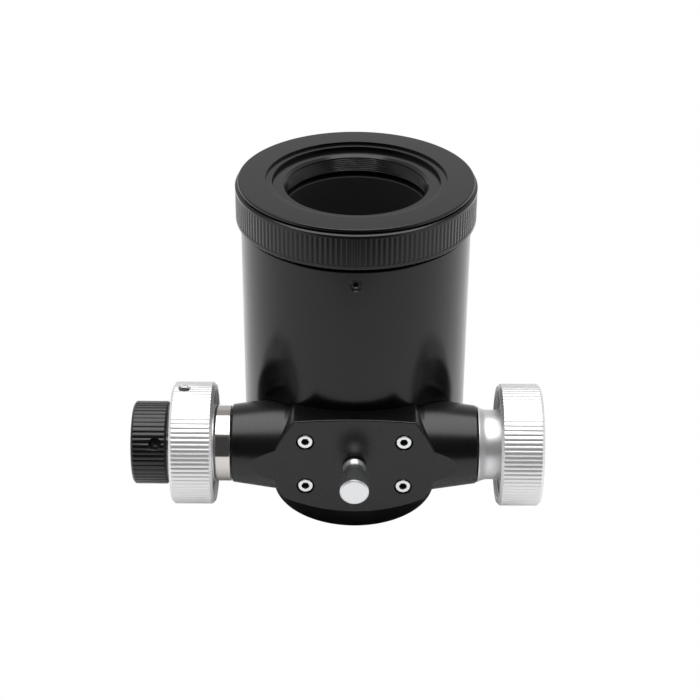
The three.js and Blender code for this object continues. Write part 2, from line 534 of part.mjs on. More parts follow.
// ---- ball reducer: fixed race, four balls in a cage on the shaft, and the fine shaft ----
const raceOutline = [
  [raceRadius, hubStartLeft], [hubRadius - 0.4, hubStartLeft], [hubRadius, hubStartLeft + 0.4],
  [hubRadius, hubStartLeft + HUB_LENGTH_LEFT - 0.4],
  [hubRadius - 0.4, hubStartLeft + HUB_LENGTH_LEFT], [raceRadius, hubStartLeft + HUB_LENGTH_LEFT],
];
add('reducer_race', alongMinusX(turned(raceOutline, MID)), silverAnodised);
const cageStart = -shaftLeftEnd + FIT_GAP;
const ballPlane = hubStartLeft + HUB_LENGTH_LEFT / 2;
const fineShaftStart = cageStart + 0.8;
const cageOutline = [
  [0, cageStart], [raceRadius - RUN_GAP, cageStart],
  [raceRadius - RUN_GAP, knobStartLeft - 0.6], [sleeveRadius, knobStartLeft - 0.6],
  [sleeveRadius, knobEndLeft - KNOB_DISH], [shaftRadius + BORE_GAP, knobEndLeft - KNOB_DISH],
  [shaftRadius + BORE_GAP, fineShaftStart - 0.3], [0, fineShaftStart - 0.3],
];
const ballAngles = Array.from({ length: BALL_COUNT }, (_, i) => 45 + i * 360 / BALL_COUNT);
const pockets = ballAngles.map((angle) =>
  radial(rod(BALL_DIAMETER / 2 + BORE_GAP, 0, raceRadius + 1, SMALL), -ballPlane, angle));
add('ball_cage', cut(alongMinusX(turned(cageOutline, MID)), ...pockets), brass);
ballAngles.forEach((angle, index) => {
  const ball = new THREE.SphereGeometry(BALL_DIAMETER / 2, 12, 8).translate(0, 0, ballOrbit);
  add(`reducer_ball_${index + 1}`, radial(ball, -ballPlane, angle), brightSteel);
});
add('fine_shaft', alongMinusX(rod(shaftRadius, fineShaftStart, fineEnd - 1.5, MID)), brightSteel);
const fineRadius = FINE_DIAMETER / 2;
const fineOutline = [
  [shaftRadius + FIT_GAP, fineStart], [fineRadius - 0.8, fineStart], [fineRadius, fineStart + 0.8],
  [fineRadius, fineEnd - 0.8], [fineRadius - 0.8, fineEnd], [fineRadius - 2.4, fineEnd],
  [fineRadius - 2.4, fineEnd - 0.8], [shaftRadius + FIT_GAP, fineEnd - 0.8],
];
const fineGrubX = -(fineStart + FINE_WIDTH * 0.32);
add('fine_knob', cut(alongMinusX(turned(fineOutline, MID)),
  radial(grubHole(shaftRadius - 1, fineRadius + 1), fineGrubX, FRONT_TILT)), blackAnodised);
add('fine_knob_grub', radial(grubScrew(shaftRadius + 0.2, fineRadius - 2), fineGrubX, FRONT_TILT),
  darkSteel);

// ---- placing: the origin is under the middle of the whole object, at its standing face ----
const left = -fineEnd;
const right = knobEndRight;
const front = -lockTo;
const back = couplingRadius;
assembly.position.set(-(left + right) / 2, -(front + back) / 2, 0);

export default assembly;
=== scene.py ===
"""A two-inch, two-speed telescope focuser, standing on its eyepiece end.

It is put together from the body outwards: screws, coupling, drawtube, collar, guide rails, drive
housing, shaft, knobs and lock screw. Lengths are in metres, +Z runs up the optical axis, and -Y
points at the flat front of the drive housing.
"""
import json
import math

import bmesh
import bpy
import numpy as np
from mathutils import Matrix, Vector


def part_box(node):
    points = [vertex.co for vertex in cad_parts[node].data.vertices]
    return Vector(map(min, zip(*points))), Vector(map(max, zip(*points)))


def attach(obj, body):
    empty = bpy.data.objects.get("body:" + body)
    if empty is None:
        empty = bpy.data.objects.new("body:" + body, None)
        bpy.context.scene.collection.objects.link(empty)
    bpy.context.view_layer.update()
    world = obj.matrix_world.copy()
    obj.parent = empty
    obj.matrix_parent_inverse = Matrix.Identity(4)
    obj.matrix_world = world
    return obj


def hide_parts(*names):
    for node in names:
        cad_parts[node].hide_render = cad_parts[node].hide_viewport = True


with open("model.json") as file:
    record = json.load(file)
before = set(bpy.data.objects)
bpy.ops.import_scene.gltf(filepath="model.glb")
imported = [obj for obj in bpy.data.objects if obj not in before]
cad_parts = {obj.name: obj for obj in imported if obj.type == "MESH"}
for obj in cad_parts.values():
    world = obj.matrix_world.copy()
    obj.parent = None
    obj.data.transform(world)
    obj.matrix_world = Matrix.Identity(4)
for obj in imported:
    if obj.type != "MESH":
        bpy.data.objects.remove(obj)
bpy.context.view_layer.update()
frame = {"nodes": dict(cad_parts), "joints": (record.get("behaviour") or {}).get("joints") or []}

# ---- Camera: a long lens, two thirds of a metre away, looking down at the front ----
# The optical axis and the focus shaft's axis come from the joints that turn about them.
MM = 0.001
joints = {joint["name"]: joint for joint in frame["joints"]}
optical_axis = np.array(joints["coupling_turn"]["pos_m"]) * [1, 1, 0]
shaft_axis = np.array(joints["focus_spin"]["pos_m"]) * [0, 1, 1] + optical_axis * [1, 0, 0]

CAMERA_DISTANCE = 0.652
CAMERA_HEIGHT_ANGLE = math.radians(30.0)
CAMERA_ROLL = math.radians(0.39)
CAMERA_TARGET = optical_axis + np.array([-1.86, 0, 59.2]) * MM
LENS = 88.5


def aim_camera(target, distance, height_angle, roll):
    """Camera matrix: its own Z axis points back from the target, X and Y are turned by the roll."""
    back = np.array([0, -math.cos(height_angle), math.sin(height_angle)])
    right = np.array([1.0, 0, 0])
    up = np.cross(back, right)
    columns = np.eye(4)
    columns[:3, 0] = math.cos(roll) * right + math.sin(roll) * up
    columns[:3, 1] = math.cos(roll) * up - math.sin(roll) * right
    columns[:3, 2] = back
    columns[:3, 3] = target + distance * back
    return columns.tolist()


lens = bpy.data.cameras.new("camera")
lens.lens = LENS
lens.sensor_width = 36
camera = bpy.data.objects.new("camera", lens)
bpy.context.scene.collection.objects.link(camera)
camera.matrix_world = Matrix(
    aim_camera(CAMERA_TARGET, CAMERA_DISTANCE, CAMERA_HEIGHT_ANGLE, CAMERA_ROLL))
bpy.context.scene.camera = camera

# ---- Studio: a white table and walls, a soft box overhead, and a dark room beyond the table ----
# The table is plain white to the camera, as in a catalogue, and ends a little ahead of the part.
TABLE_LOW = (-2.0, -0.26, 0.0)
TABLE_HIGH = (2.0, 3.0, 0.0)
TABLE_COLOUR = (0.78, 0.78, 0.78, 1)
SKY_WHITE = 0.95
SKY_SIDE = 1.25
SKY_BACK = 0.65
SKY_FRONT = 0.1
SOFT_BOX_WIDTH = 1.1
SOFT_BOX_LENGTH = 1.35
SOFT_BOX_HEIGHT = 1.15
SOFT_BOX_FORWARD = 0.045
SOFT_BOX_POWER = 19.6
MILK_WHITE = (1.0, 1.0, 1.0, 1)


def plain_material(name, colour, roughness, metallic=0.0):
    """A Principled material with one colour, for the next sections to add their detail to."""
    material = bpy.data.materials.new(name)
    material.use_nodes = True
    shader = material.node_tree.nodes["Principled BSDF"]
    shader.inputs["Base Color"].default_value = colour
    shader.inputs["Roughness"].default_value = roughness
    shader.inputs["Metallic"].default_value = metallic
    return material


def put(tree, kind, inputs=None, **settings):
    """Adds a node with those settings. Each input is a plain value, or a socket to link from."""
    node = tree.nodes.new(kind)
    for name, value in settings.items():
        setattr(node, name, value)
    for name, value in (inputs or {}).items():
        if isinstance(value, bpy.types.NodeSocket):
            tree.links.new(value, node.inputs[name])
        else:
            node.inputs[name].default_value = value
    return node


def maths(tree, operation, left, right):
    """The result of a Math node on two sockets or numbers."""
    return put(tree, "ShaderNodeMath", {0: left, 1: right}, operation=operation).outputs[0]


def make_table():
    """A flat white table. Rays straight from the camera see it as plain white, without shadows."""
    (left, front, height), (right, back, _) = TABLE_LOW, TABLE_HIGH
    mesh = bpy.data.meshes.new("table")
    mesh.from_pydata([(left, front, height), (right, front, height), (right, back, height),
                      (left, back, height)], [], [(0, 1, 2, 3)])
    table = bpy.data.objects.new("table", mesh)
    bpy.context.scene.collection.objects.link(table)
    material = plain_material("table", TABLE_COLOUR, 0.7)
    tree = material.node_tree
    seen = put(tree, "ShaderNodeLightPath").outputs["Is Camera Ray"]
    white = put(tree, "ShaderNodeEmission", {"Color": MILK_WHITE}).outputs[0]
    pick = put(tree, "ShaderNodeMixShader",
               {"Fac": seen, 1: tree.nodes["Principled BSDF"].outputs[0], 2: white})
    tree.links.new(pick.outputs[0], tree.nodes["Material Output"].inputs["Surface"])
    mesh.materials.append(material)


make_table()
soft_box = bpy.data.lights.new("soft_box", "AREA")
soft_box.shape = "RECTANGLE"
soft_box.size = SOFT_BOX_WIDTH
soft_box.size_y = SOFT_BOX_LENGTH
soft_box.energy = SOFT_BOX_POWER
lamp = bpy.data.objects.new("soft_box", soft_box)
lamp.location = (optical_axis[0], optical_axis[1] - SOFT_BOX_FORWARD, SOFT_BOX_HEIGHT)
bpy.context.scene.collection.objects.link(lamp)


def add_world():
    """White all round and plain white to the camera. For reflections the front is dark up to the
    soft box, the sides are brighter, and the back is dimmer above thirty degrees."""
    world = bpy.data.worlds.new("studio")
    bpy.context.scene.world = world
    world.use_nodes = True
    tree = world.node_tree
    tree.nodes.clear()
    place = put(tree, "ShaderNodeTexCoord").outputs["Generated"]
    along, deep, height = put(tree, "ShaderNodeSeparateXYZ", {0: place}).outputs

    def smooth(value, start, end):
        """A smooth step: 0 at the start and before it, 1 from the end on."""
        return put(tree, "ShaderNodeMapRange", {"Value": value, "From Min": start, "From Max": end},
                   interpolation_type="SMOOTHSTEP").outputs[0]

    def blend(amount, here, there):
        """From one level to another by an amount from 0 to 1."""
        return put(tree, "ShaderNodeMix", {"Factor": amount, "A": here, "B": there}).outputs["Result"]

    aside = maths(tree, "ABSOLUTE", along, 0.0)
    level = blend(smooth(aside, 0.55, 0.85), SKY_WHITE, SKY_SIDE)
    behind = maths(tree, "MULTIPLY", smooth(deep, 0.3, 0.6), smooth(height, 0.45, 0.56))
    level = blend(behind, level, SKY_BACK)
    ahead = maths(tree, "MULTIPLY", smooth(deep, -0.3, -0.7), smooth(height, 0.96, 0.86))
    level = blend(ahead, level, SKY_FRONT)
    seen = put(tree, "ShaderNodeLightPath").outputs["Is Camera Ray"]
    light = put(tree, "ShaderNodeBackground", {"Strength": blend(seen, level, 1.0)})
    put(tree, "ShaderNodeOutputWorld", {"Surface": light.outputs[0]})


add_world()
bpy.context.scene.view_settings.view_transform = "Standard"

# ---- Body barrel: a thick black anodised aluminium tube, turned, with an inward lip at its foot ----
# Its front is milled open where the shaft meets the drawtube. A grub screw sits near its top.
UP = (0, 0, 1)
ACROSS = (1, 0, 0)
EASE = 0.3 * MM
BODY_WALL = 3.7 * MM
BODY_LIP = 4.0 * MM
SEAT_WALL = 2.9 * MM
SEAT_DEPTH = 10.7 * MM
LIP_GAP = 0.3 * MM
SHARP_ANGLE = math.radians(32)
BLACK = (0.0018, 0.0018, 0.002, 1)
BLACK_ROUGHNESS = 0.21
BLACK_INDEX = 1.37


def eased(corners, steps=4):
    """An outline from (radius, height, easing) corners: each corner becomes a quadratic curve that
    starts and ends the easing's length from it, along its two sides."""
    corners = np.array([(*corner, 0)[:3] for corner in corners], float)
    closed = corners[0, 0] > 0
    points = []
    for index, (radius, height, ease) in enumerate(corners):
        here = np.array([radius, height])
        last = index in (0, len(corners) - 1) and not closed
        if ease == 0 or last:
            points.append(here)
            continue
        before = corners[index - 1, :2] - here
        after = corners[(index + 1) % len(corners), :2] - here
        start = here + before / np.linalg.norm(before) * ease
        end = here + after / np.linalg.norm(after) * ease
        t = np.linspace(0, 1, steps + 1)[:, None]
        points.extend((1 - t) ** 2 * start + 2 * t * (1 - t) * here + t ** 2 * end)
    return [(point[0], point[1]) for point in points]


def turning_frame(axis):
    """Three unit vectors as columns: two across the axis and the axis itself, right-handed."""
    axis = np.array(axis, float) / np.linalg.norm(axis)
    side = np.array([0, 0, 1.0]) if abs(axis[2]) < 0.9 else np.array([1.0, 0, 0])
    first = np.cross(side, axis)
    first /= np.linalg.norm(first)
    return np.stack([first, np.cross(axis, first), axis], axis=1)


def shade(mesh):
    """Smooth faces with hard edges where the surface turns sharply."""
    mesh.shade_smooth()
    mesh.set_sharp_from_angle(angle=SHARP_ANGLE)


def make_piece(name, points, faces):
    """A linked object from an array of points and a list of faces, its normals pointing out."""
    mesh = bpy.data.meshes.new(name)
    mesh.from_pydata(points.tolist(), [], faces)
    shell = bmesh.new()
    shell.from_mesh(mesh)
    bmesh.ops.remove_doubles(shell, verts=shell.verts, dist=1e-7)
    bmesh.ops.recalc_face_normals(shell, faces=shell.faces)
    shell.to_mesh(mesh)
    shell.free()
    shade(mesh)
    piece = bpy.data.objects.new(name, mesh)
    bpy.context.scene.collection.objects.link(piece)
    return piece


def turned(name, outline, centre, axis, sides=192, angles=None):
    """A solid of revolution: point (i, j) is the centre plus height i along the axis and radius i
    turned by angle j. A radius may be an array over the angles, as on a knurl or a hexagon. An
    outline closes on itself, or runs from pole to pole."""
    angles = np.arange(sides) / sides * 2 * math.pi if angles is None else angles
    count = len(angles)
    radii = np.stack([np.broadcast_to(radius, count) for radius, _ in outline])
    heights = np.array([height for _, height in outline])[:, None] + 0 * angles
    local = np.stack([radii * np.cos(angles), radii * np.sin(angles), heights], axis=-1)
    points = np.asarray(centre) + local @ turning_frame(axis).T
    has_poles = np.all(radii[0] == 0)
    rows = len(outline)
    first = np.arange(rows - 1 if has_poles else rows)[:, None] * count
    second = (first + count) % (rows * count)
    here = np.arange(count)[None]
    ahead = (here + 1) % count
    quads = np.stack([first + here, first + ahead, second + ahead, second + here], axis=-1)
    return make_piece(name, points.reshape(-1, 3), quads.reshape(-1, 4).tolist())


def keep_round(piece, centre, axis):
    """Gives every wall that runs straight round an axis the exact normals of that round surface:
    outward from the axis at each corner, tilted along it as much as the face is."""
    mesh = piece.data
    axis = np.array(axis, float)

    def read(items, name, width, kind=np.float32):
        """One attribute of all items, as rows of that width."""
        values = np.empty(len(items) * width, kind)
        items.foreach_get(name, values)
        return values.reshape(-1, width).squeeze()

    def across(vectors):
        """Unit vectors along the part of each that is square to the axis."""
        part = vectors - np.outer(vectors @ axis, axis)
        return part / np.maximum(np.linalg.norm(part, axis=1, keepdims=True), 1e-9)

    corners = read(mesh.corner_normals, "vector", 3)
    facing = read(mesh.polygons, "normal", 3)
    tilt = facing @ axis
    agree = np.sum(across(facing) * across(read(mesh.polygons, "center", 3) - centre), axis=1)
    owner = np.repeat(np.arange(len(facing)), read(mesh.polygons, "loop_total", 1, np.int32))
    place = read(mesh.vertices, "co", 3)[read(mesh.loops, "vertex_index", 1, np.int32)]
    exact = across(place - centre) * (np.sign(agree) * np.sqrt(1 - np.minimum(tilt ** 2, 1)))[owner, None]
    exact += tilt[owner, None] * axis
    round_wall = ((np.abs(agree) > 0.9995) & (np.abs(tilt) < 0.3))[owner]
    corners[round_wall] = exact[round_wall]
    flat = (np.abs(facing).max(axis=1) > 0.99999)[owner]
    corners[flat] = facing[owner][flat]
    mesh.normals_split_custom_set(corners.tolist())
    return piece


def cut(piece, *cutters, operation="DIFFERENCE"):
    """Cuts the cutters' shapes out of a piece, or joins them to it, and removes the cutters."""
    for cutter in cutters:
        step = piece.modifiers.new("cut", "BOOLEAN")
        step.object = cutter
        step.operation = operation
        step.solver = "MANIFOLD"
    bpy.context.view_layer.update()
    seen = piece.evaluated_get(bpy.context.evaluated_depsgraph_get())
    result = bpy.data.meshes.new_from_object(seen)
    piece.modifiers.clear()
    piece.data = result
    shade(result)
    for cutter in cutters:
        bpy.data.objects.remove(cutter)
    return piece


def box_piece(name, low, high):
    """A plain box between two corners, as a cutter or a base for bevels."""
    corner = np.array([(x, y, z) for x in (0, 1) for y in (0, 1) for z in (0, 1)])
    points = np.array(low) + corner * (np.array(high) - np.array(low))
    faces = [(0, 1, 3, 2), (4, 6, 7, 5), (0, 4, 5, 1), (2, 3, 7, 6), (0, 2, 6, 4), (1, 5, 7, 3)]
    return make_piece(name, points, faces)


def drill(radius, start, direction, length, mouth=0.0, flare=0.0):
    """A cutter for a round hole from a point along a direction. Nearer the start than the mouth, a
    countersink opens over the flare's length."""
    outline = [(0, 0), (radius + flare, 0), (radius + flare, max(mouth - flare, 1e-5)),
               (radius, max(mouth, 2e-5)), (radius, length), (0, length)]
    return turned("drill", outline, start, direction, sides=48)


def middle(node):
    """The middle of a CAD node's box, and the box's size."""
    low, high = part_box(node)
    return np.array((low + high) / 2), np.array(high - low)


def refinish(piece, material):
    """Gives a piece, or a CAD node that is kept as it is, one material."""
    piece.data.materials.clear()
    piece.data.materials.append(material)


def add(piece, body, node, material):
    """Gives a piece its material, evens its shading unless its normals are set, puts it on its body and
    hides the CAD node it stands for.
    """
    refinish(piece, material)
    if not piece.data.has_custom_normals:
        piece.modifiers.new("even_shading", "WEIGHTED_NORMAL").keep_sharp = True
    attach(piece, body)
    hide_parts(node)
    return piece


def group_socket(tree, name, direction, kind, default=None):
    """Adds a named input or output to a node group."""
    socket = tree.interface.new_socket(name, in_out=direction, socket_type=kind)
    if default is not None:
        socket.default_value = default
    return socket


def surface_marks():
    """A node group for machined metal: fine rings about the place's Z, blasted grain and soft
    smudges, as a height and as a value to add to the roughness."""
    tree = bpy.data.node_groups.new("Machined surface", "ShaderNodeTree")
    group_socket(tree, "Place", "INPUT", "NodeSocketVector")
    for name in ("Rings", "Grain", "Smudges"):
        group_socket(tree, name, "INPUT", "NodeSocketFloat", 1.0)
    for name in ("Height", "Roughness"):
        group_socket(tree, name, "OUTPUT", "NodeSocketFloat")
    given = put(tree, "NodeGroupInput").outputs
    x, y, z = put(tree, "ShaderNodeSeparateXYZ", {0: given["Place"]}).outputs
    flat = put(tree, "ShaderNodeCombineXYZ", {"X": x, "Y": y}).outputs[0]
    radius = put(tree, "ShaderNodeVectorMath", {0: flat}, operation="LENGTH").outputs["Value"]
    ring_place = put(tree, "ShaderNodeCombineXYZ", {"X": radius, "Y": z}).outputs[0]

    def noise(place, scale, detail):
        """Noise from 0 to 1 at a place."""
        return put(tree, "ShaderNodeTexNoise",
                   {"Vector": place, "Scale": scale, "Detail": detail}).outputs["Fac"]

    rings = maths(tree, "MULTIPLY", noise(ring_place, 3200, 2), given["Rings"])
    grain = maths(tree, "MULTIPLY", noise(given["Place"], 5200, 1), given["Grain"])
    marks = maths(tree, "ADD", rings, grain)
    smudge = maths(tree, "SUBTRACT", noise(given["Place"], 60, 4), 0.5)
    smudge = maths(tree, "MULTIPLY", smudge, given["Smudges"])
    fine = maths(tree, "MULTIPLY", maths(tree, "SUBTRACT", marks, 0.6), 0.12)
    rough = maths(tree, "ADD", maths(tree, "MULTIPLY", smudge, 0.35), fine)
    put(tree, "NodeGroupOutput", {"Height": marks, "Roughness": rough})
    return tree


machined = surface_marks()


def edge_light():
    """A node group for handled edges: a patchy mask, 1 where the surface's normal differs from
    one rounded over a short radius."""
    tree = bpy.data.node_groups.new("Worn edges", "ShaderNodeTree")
    group_socket(tree, "Radius", "INPUT", "NodeSocketFloat", 0.0003)
    group_socket(tree, "Place", "INPUT", "NodeSocketVector")
    group_socket(tree, "Mask", "OUTPUT", "NodeSocketFloat")
    given = put(tree, "NodeGroupInput").outputs
    rounded = put(tree, "ShaderNodeBevel", {"Radius": given["Radius"]}, samples=4).outputs[0]
    plain = put(tree, "ShaderNodeNewGeometry").outputs["Normal"]
    agree = put(tree, "ShaderNodeVectorMath", {0: rounded, 1: plain}, operation="DOT_PRODUCT")
    edge = put(tree, "ShaderNodeMapRange",
               {"Value": agree.outputs["Value"], "From Min": 0.995, "From Max": 0.9})
    patchy = put(tree, "ShaderNodeTexNoise", {"Vector": given["Place"], "Scale": 400, "Detail": 3})
    spread = put(tree, "ShaderNodeMapRange",
                 {"Value": patchy.outputs["Fac"], "From Min": 0.4, "From Max": 0.62})
    put(tree, "NodeGroupOutput", {"Mask": maths(tree, "MULTIPLY", edge.outputs[0], spread.outputs[0])})
    return tree


worn_edges = edge_light()


def metal(name, colour, roughness, metallic, centre, axis, rings=0.5, grain=0.5, smudges=0.3,
          bump=0.15, worn=(0.05, 0.05, 0.05, 1), wear=0.3, index=1.5):
    """A machined metal: its marks run round the given axis, its edges are a little worn."""
    material = plain_material(name, colour, roughness, metallic)
    tree = material.node_tree
    turn = Matrix(turning_frame(axis).T.tolist())
    move = turn @ Matrix.Translation([-value for value in centre]).to_translation()
    place = put(tree, "ShaderNodeTexCoord").outputs["Object"]
    place = put(tree, "ShaderNodeMapping",
                {"Vector": place, "Rotation": turn.to_euler(), "Location": move}).outputs[0]
    marks = put(tree, "ShaderNodeGroup", {
        "Place": place, "Rings": rings, "Grain": grain, "Smudges": smudges}, node_tree=machined)
    edges = put(tree, "ShaderNodeGroup", {"Place": place}, node_tree=worn_edges)
    amount = maths(tree, "MULTIPLY", edges.outputs["Mask"], wear)
    tint = put(tree, "ShaderNodeMix", {"Factor": amount, "A": colour, "B": worn}, data_type="RGBA")
    total = put(tree, "ShaderNodeMath", {0: marks.outputs["Roughness"], 1: roughness}, use_clamp=True)
    bumps = put(tree, "ShaderNodeBump",
                {"Strength": bump, "Distance": 0.00002, "Height": marks.outputs["Height"]})
    shader = tree.nodes["Principled BSDF"]
    shader.inputs["IOR"].default_value = index
    tree.links.new(tint.outputs["Result"], shader.inputs["Base Color"])
    tree.links.new(total.outputs[0], shader.inputs["Roughness"])
    tree.links.new(bumps.outputs[0], shader.inputs["Normal"])
    return material


black_upright = metal("black_anodised_upright", BLACK, BLACK_ROUGHNESS, 0.0, optical_axis, UP,
                      index=BLACK_INDEX)
body_low, body_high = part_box("body_barrel")
body_radius = (body_high.x - body_low.x) / 2
bore_radius = body_radius - BODY_WALL
seat_radius = body_radius - SEAT_WALL
strip_front = optical_axis[1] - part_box("running_strip")[0].y
lip_radius = math.hypot(strip_front, middle("running_strip")[1][0] / 2) + LIP_GAP + 0.2 * MM
body_outline = eased([
    (lip_radius, body_low.z, EASE), (body_radius, body_low.z, 0.8 * MM),
    (body_radius, body_high.z, 0.5 * MM), (seat_radius, body_high.z, EASE),
    (seat_radius, body_high.z - SEAT_DEPTH), (bore_radius, body_high.z - SEAT_DEPTH),
    (bore_radius, body_low.z + BODY_LIP), (lip_radius, body_low.z + BODY_LIP),
])
body = turned("body", body_outline, optical_axis, UP, sides=288)

WINDOW_HEIGHT = 11 * MM
GRUB_HOLE = 2.1 * MM
SCREW_HOLE = 1.6 * MM
HEAD_HOLE = 3.25 * MM
RAIL_SEAT = 2.15 * MM
FLARE = 0.25 * MM
shaft_radius = middle("focus_shaft")[1][2] / 2
block_half = math.sqrt(body_radius ** 2 - (shaft_axis[1] - optical_axis[1]) ** 2)
window_half = block_half + LIP_GAP


def block_at_shaft(name, half_width, front, back, half_height):
    """A box level with the shaft. Its front and back are distances ahead of the optical axis."""
    x, y, z = optical_axis[0], optical_axis[1], shaft_axis[2]
    return box_piece(name, (x - half_width, y - front, z - half_height),
                     (x + half_width, y - back, z + half_height))


body_cutters = [
    block_at_shaft("window", window_half, body_radius + MM, strip_front, WINDOW_HEIGHT / 2),
    drill(shaft_radius + LIP_GAP, shaft_axis - [body_radius, 0, 0], ACROSS, body_radius * 2),
]
grub_middle, _ = middle("coupling_grub_screw")
grub_mouth = np.array([optical_axis[0], optical_axis[1] - body_radius - MM, grub_middle[2]])
body_cutters.append(drill(GRUB_HOLE, grub_mouth, (0, 1, 0), 8 * MM, mouth=MM + FLARE, flare=FLARE))


def way_out(node):
    """A node's middle, and the level unit vector towards it from the optical axis."""
    place = middle(node)[0]
    way = (place - optical_axis) * [1, 1, 0]
    return place, way / np.linalg.norm(way)


rail_screws = [f"rail_screw_{level}_{side}"
               for level in ("lower", "upper") for side in ("left", "right")]
for name in rail_screws:
    place, outwards = way_out(name)
    mouth = optical_axis + outwards * (body_radius + MM) + [0, 0, place[2]]
    body_cutters.append(drill(HEAD_HOLE, mouth, -outwards, MM + RAIL_SEAT, mouth=MM + FLARE,
                              flare=FLARE))
    body_cutters.append(drill(SCREW_HOLE, mouth, -outwards, 7 * MM))
body = keep_round(cut(body, *body_cutters), optical_axis, UP)
add(body, "focuser_body", "body_barrel", black_upright)

# ---- Screws: M3 socket screws for the housing and the rails, M4 grub screws for ring and knobs ----
# Each is turned steel with a hexagonal socket. The grub and housing screws get a painted shade inside the
# socket, as a dark second material.
AHEAD = (0, -1, 0)
STEEL = (0.62, 0.63, 0.64, 1)
DARK_STEEL = (0.025, 0.025, 0.027, 1)
# Base colour of the painted shade inside the screws' sockets.
SOCKET_SHADE_COLOUR = (0.07, 0.07, 0.072, 1)
SOCKET_REACH = 2.9 * MM
SOCKET_CORNER = 0.585


def hexagon(across, angles):
    """Radius of a hexagon of that width across its flats, at each angle."""
    return across / 2 / np.cos((angles % (math.pi / 3)) - math.pi / 6)


SCREW_SIDES = 72
screw_angles = np.arange(SCREW_SIDES) / SCREW_SIDES * 2 * math.pi


def socket_screw(name, seat, axis, length, head_height, radius=1.5 * MM, head=2.75 * MM,
                 socket=2.5 * MM):
    """A socket head screw: the seat is under the head, the thread runs back along the axis."""
    wall = hexagon(socket, screw_angles)
    outline = eased([(0, -length), (radius, -length, EASE), (radius, 0), (head, 0, 0.1 * MM),
                     (head, head_height, 0.45 * MM), (socket * 0.66, head_height)])
    outline += [(wall + 0.12 * MM, head_height), (wall, head_height - 0.12 * MM),
                (wall, head_height * 0.25), (0, head_height * 0.15)]
    return turned(name, outline, seat, axis, angles=screw_angles)


def grub_screw(name, end, axis, length, radius=2 * MM, socket=2 * MM):
    """A headless screw: the end is its socket's face, its cup point lies back along the axis."""
    wall = hexagon(socket, screw_angles)
    outline = eased([(0, -length + 0.5 * MM), (radius - 0.9 * MM, -length, 0.1 * MM),
                     (radius, -length + 0.8 * MM, 0.2 * MM), (radius, 0, EASE)])
    outline += [(wall + 0.1 * MM, 0), (wall, -0.1 * MM), (wall, -1.9 * MM), (0, -2.3 * MM)]
    return turned(name, outline, end, axis, angles=screw_angles)


def paint_socket_shade(piece, top, axis, across):
    """Gives the faces inside a screw's hexagon, below its top, a dark second material: painted shade in
    the socket.
    """
    piece.data.materials.append(socket_black)
    for face in piece.data.polygons:
        away = np.array(face.center) - top
        depth = -away @ axis
        radius = np.linalg.norm(away + depth * np.array(axis))
        if 0.05 * MM < depth < SOCKET_REACH and radius < across * SOCKET_CORNER:
            face.material_index = 1


def steel(name, colour, roughness, centre, axis, **more):
    """Turned steel, bright or blackened."""
    return metal(name, colour, roughness, 1.0, centre, axis, rings=0.7, grain=0.1, smudges=0.2,
                 bump=0.2, worn=(0.8, 0.8, 0.8, 1), wear=0.25, **more)


# A dark material that paints the shade inside the screws' sockets.
socket_black = metal("socket_black", SOCKET_SHADE_COLOUR, 0.5, 0.7, optical_axis, UP)
low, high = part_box("coupling_grub_screw")
end = np.array([grub_middle[0], low.y, grub_middle[2]])
coupling_grub = grub_screw("coupling_grub", end, AHEAD, high.y - low.y)
add(coupling_grub, "focuser_body", "coupling_grub_screw",
    steel("grub_steel", DARK_STEEL, 0.45, end, AHEAD))
paint_socket_shade(coupling_grub, end, AHEAD, 2 * MM)

HEAD_HEIGHT = 3.0 * MM
housing_screws = [f"housing_screw_{level}_{side}"
                  for level in ("upper", "lower") for side in ("left", "right")]
for name in housing_screws:
    place, size = middle(name)
    seat = np.array([place[0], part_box(name)[0].y + HEAD_HEIGHT, place[2]])
    piece = socket_screw(name + "_turned", seat, AHEAD, size[1] - HEAD_HEIGHT, HEAD_HEIGHT)
    add(piece, "focuser_body", name, steel(name, STEEL, 0.22, seat, AHEAD))
    paint_socket_shade(piece, seat + [0, -HEAD_HEIGHT, 0], AHEAD, 2.5 * MM)

LOW_HEAD = 1.6 * MM
for name in rail_screws:
    place, outwards = way_out(name)
    seat = optical_axis + outwards * (body_radius - LOW_HEAD - 0.5 * MM) + [0, 0, place[2]]
    piece = socket_screw(name + "_turned", seat, outwards, 8.2 * MM, LOW_HEAD, socket=2.0 * MM)
    add(piece, "focuser_body", name, steel(name, DARK_STEEL, 0.35, seat, outwards))

# ---- Telescope coupling: a knurled black ring whose grooved spigot turns in the body ----
# It is turned aluminium with a rolled knurl, and its face has a stepped recess for the adapter ring.
COUPLING_KNURLS = 148
KNURL_DEPTH = 0.17 * MM
KNURL_FOOT = 1.5 * MM
KNURL_HEAD = 3.2 * MM
COUPLING_GAP = 1.6 * MM
SPIGOT_WALL = 3.5 * MM
GROOVE_DEPTH = 1.2 * MM
GROOVE_HALF = 2.4 * MM
RECESS_STEP = 0.9 * MM
RECESS_LEDGE = 2.5 * MM
ADAPTER_FIT = 0.05 * MM
INNER_LIP = 1.4 * MM


def knurl_angles(count, share):
    """Angles round a straight knurl: each groove's bottom, its two shoulders and the land's middle."""
    offsets = np.array([0, share, 0.5, 1 - share])
    return ((np.arange(count)[:, None] + offsets) / count * 2 * math.pi).ravel()


def knurled(outline, radius, depth, angles, count, share, low=-1.0, high=1.0):
    """Limits an outline's radii to those of V grooves along the axis, between two heights."""
    phase = (angles * count / (2 * math.pi)) % 1
    away = np.minimum(phase, 1 - phase)
    grooves = radius - depth * np.clip(1 - away / share, 0, 1)
    return [(np.minimum(r, grooves) if low <= h <= high else r, h) for r, h in outline]


def rolled(outline, radius, depth, angles, count, low, high):
    """Limits an outline's radii to a rolled knurl: a cosine wave round the axis, between heights."""
    wave = radius - depth * (0.5 + 0.5 * np.cos(angles * count))
    return [(np.minimum(r, wave) if low <= h <= high else r, h) for r, h in outline]


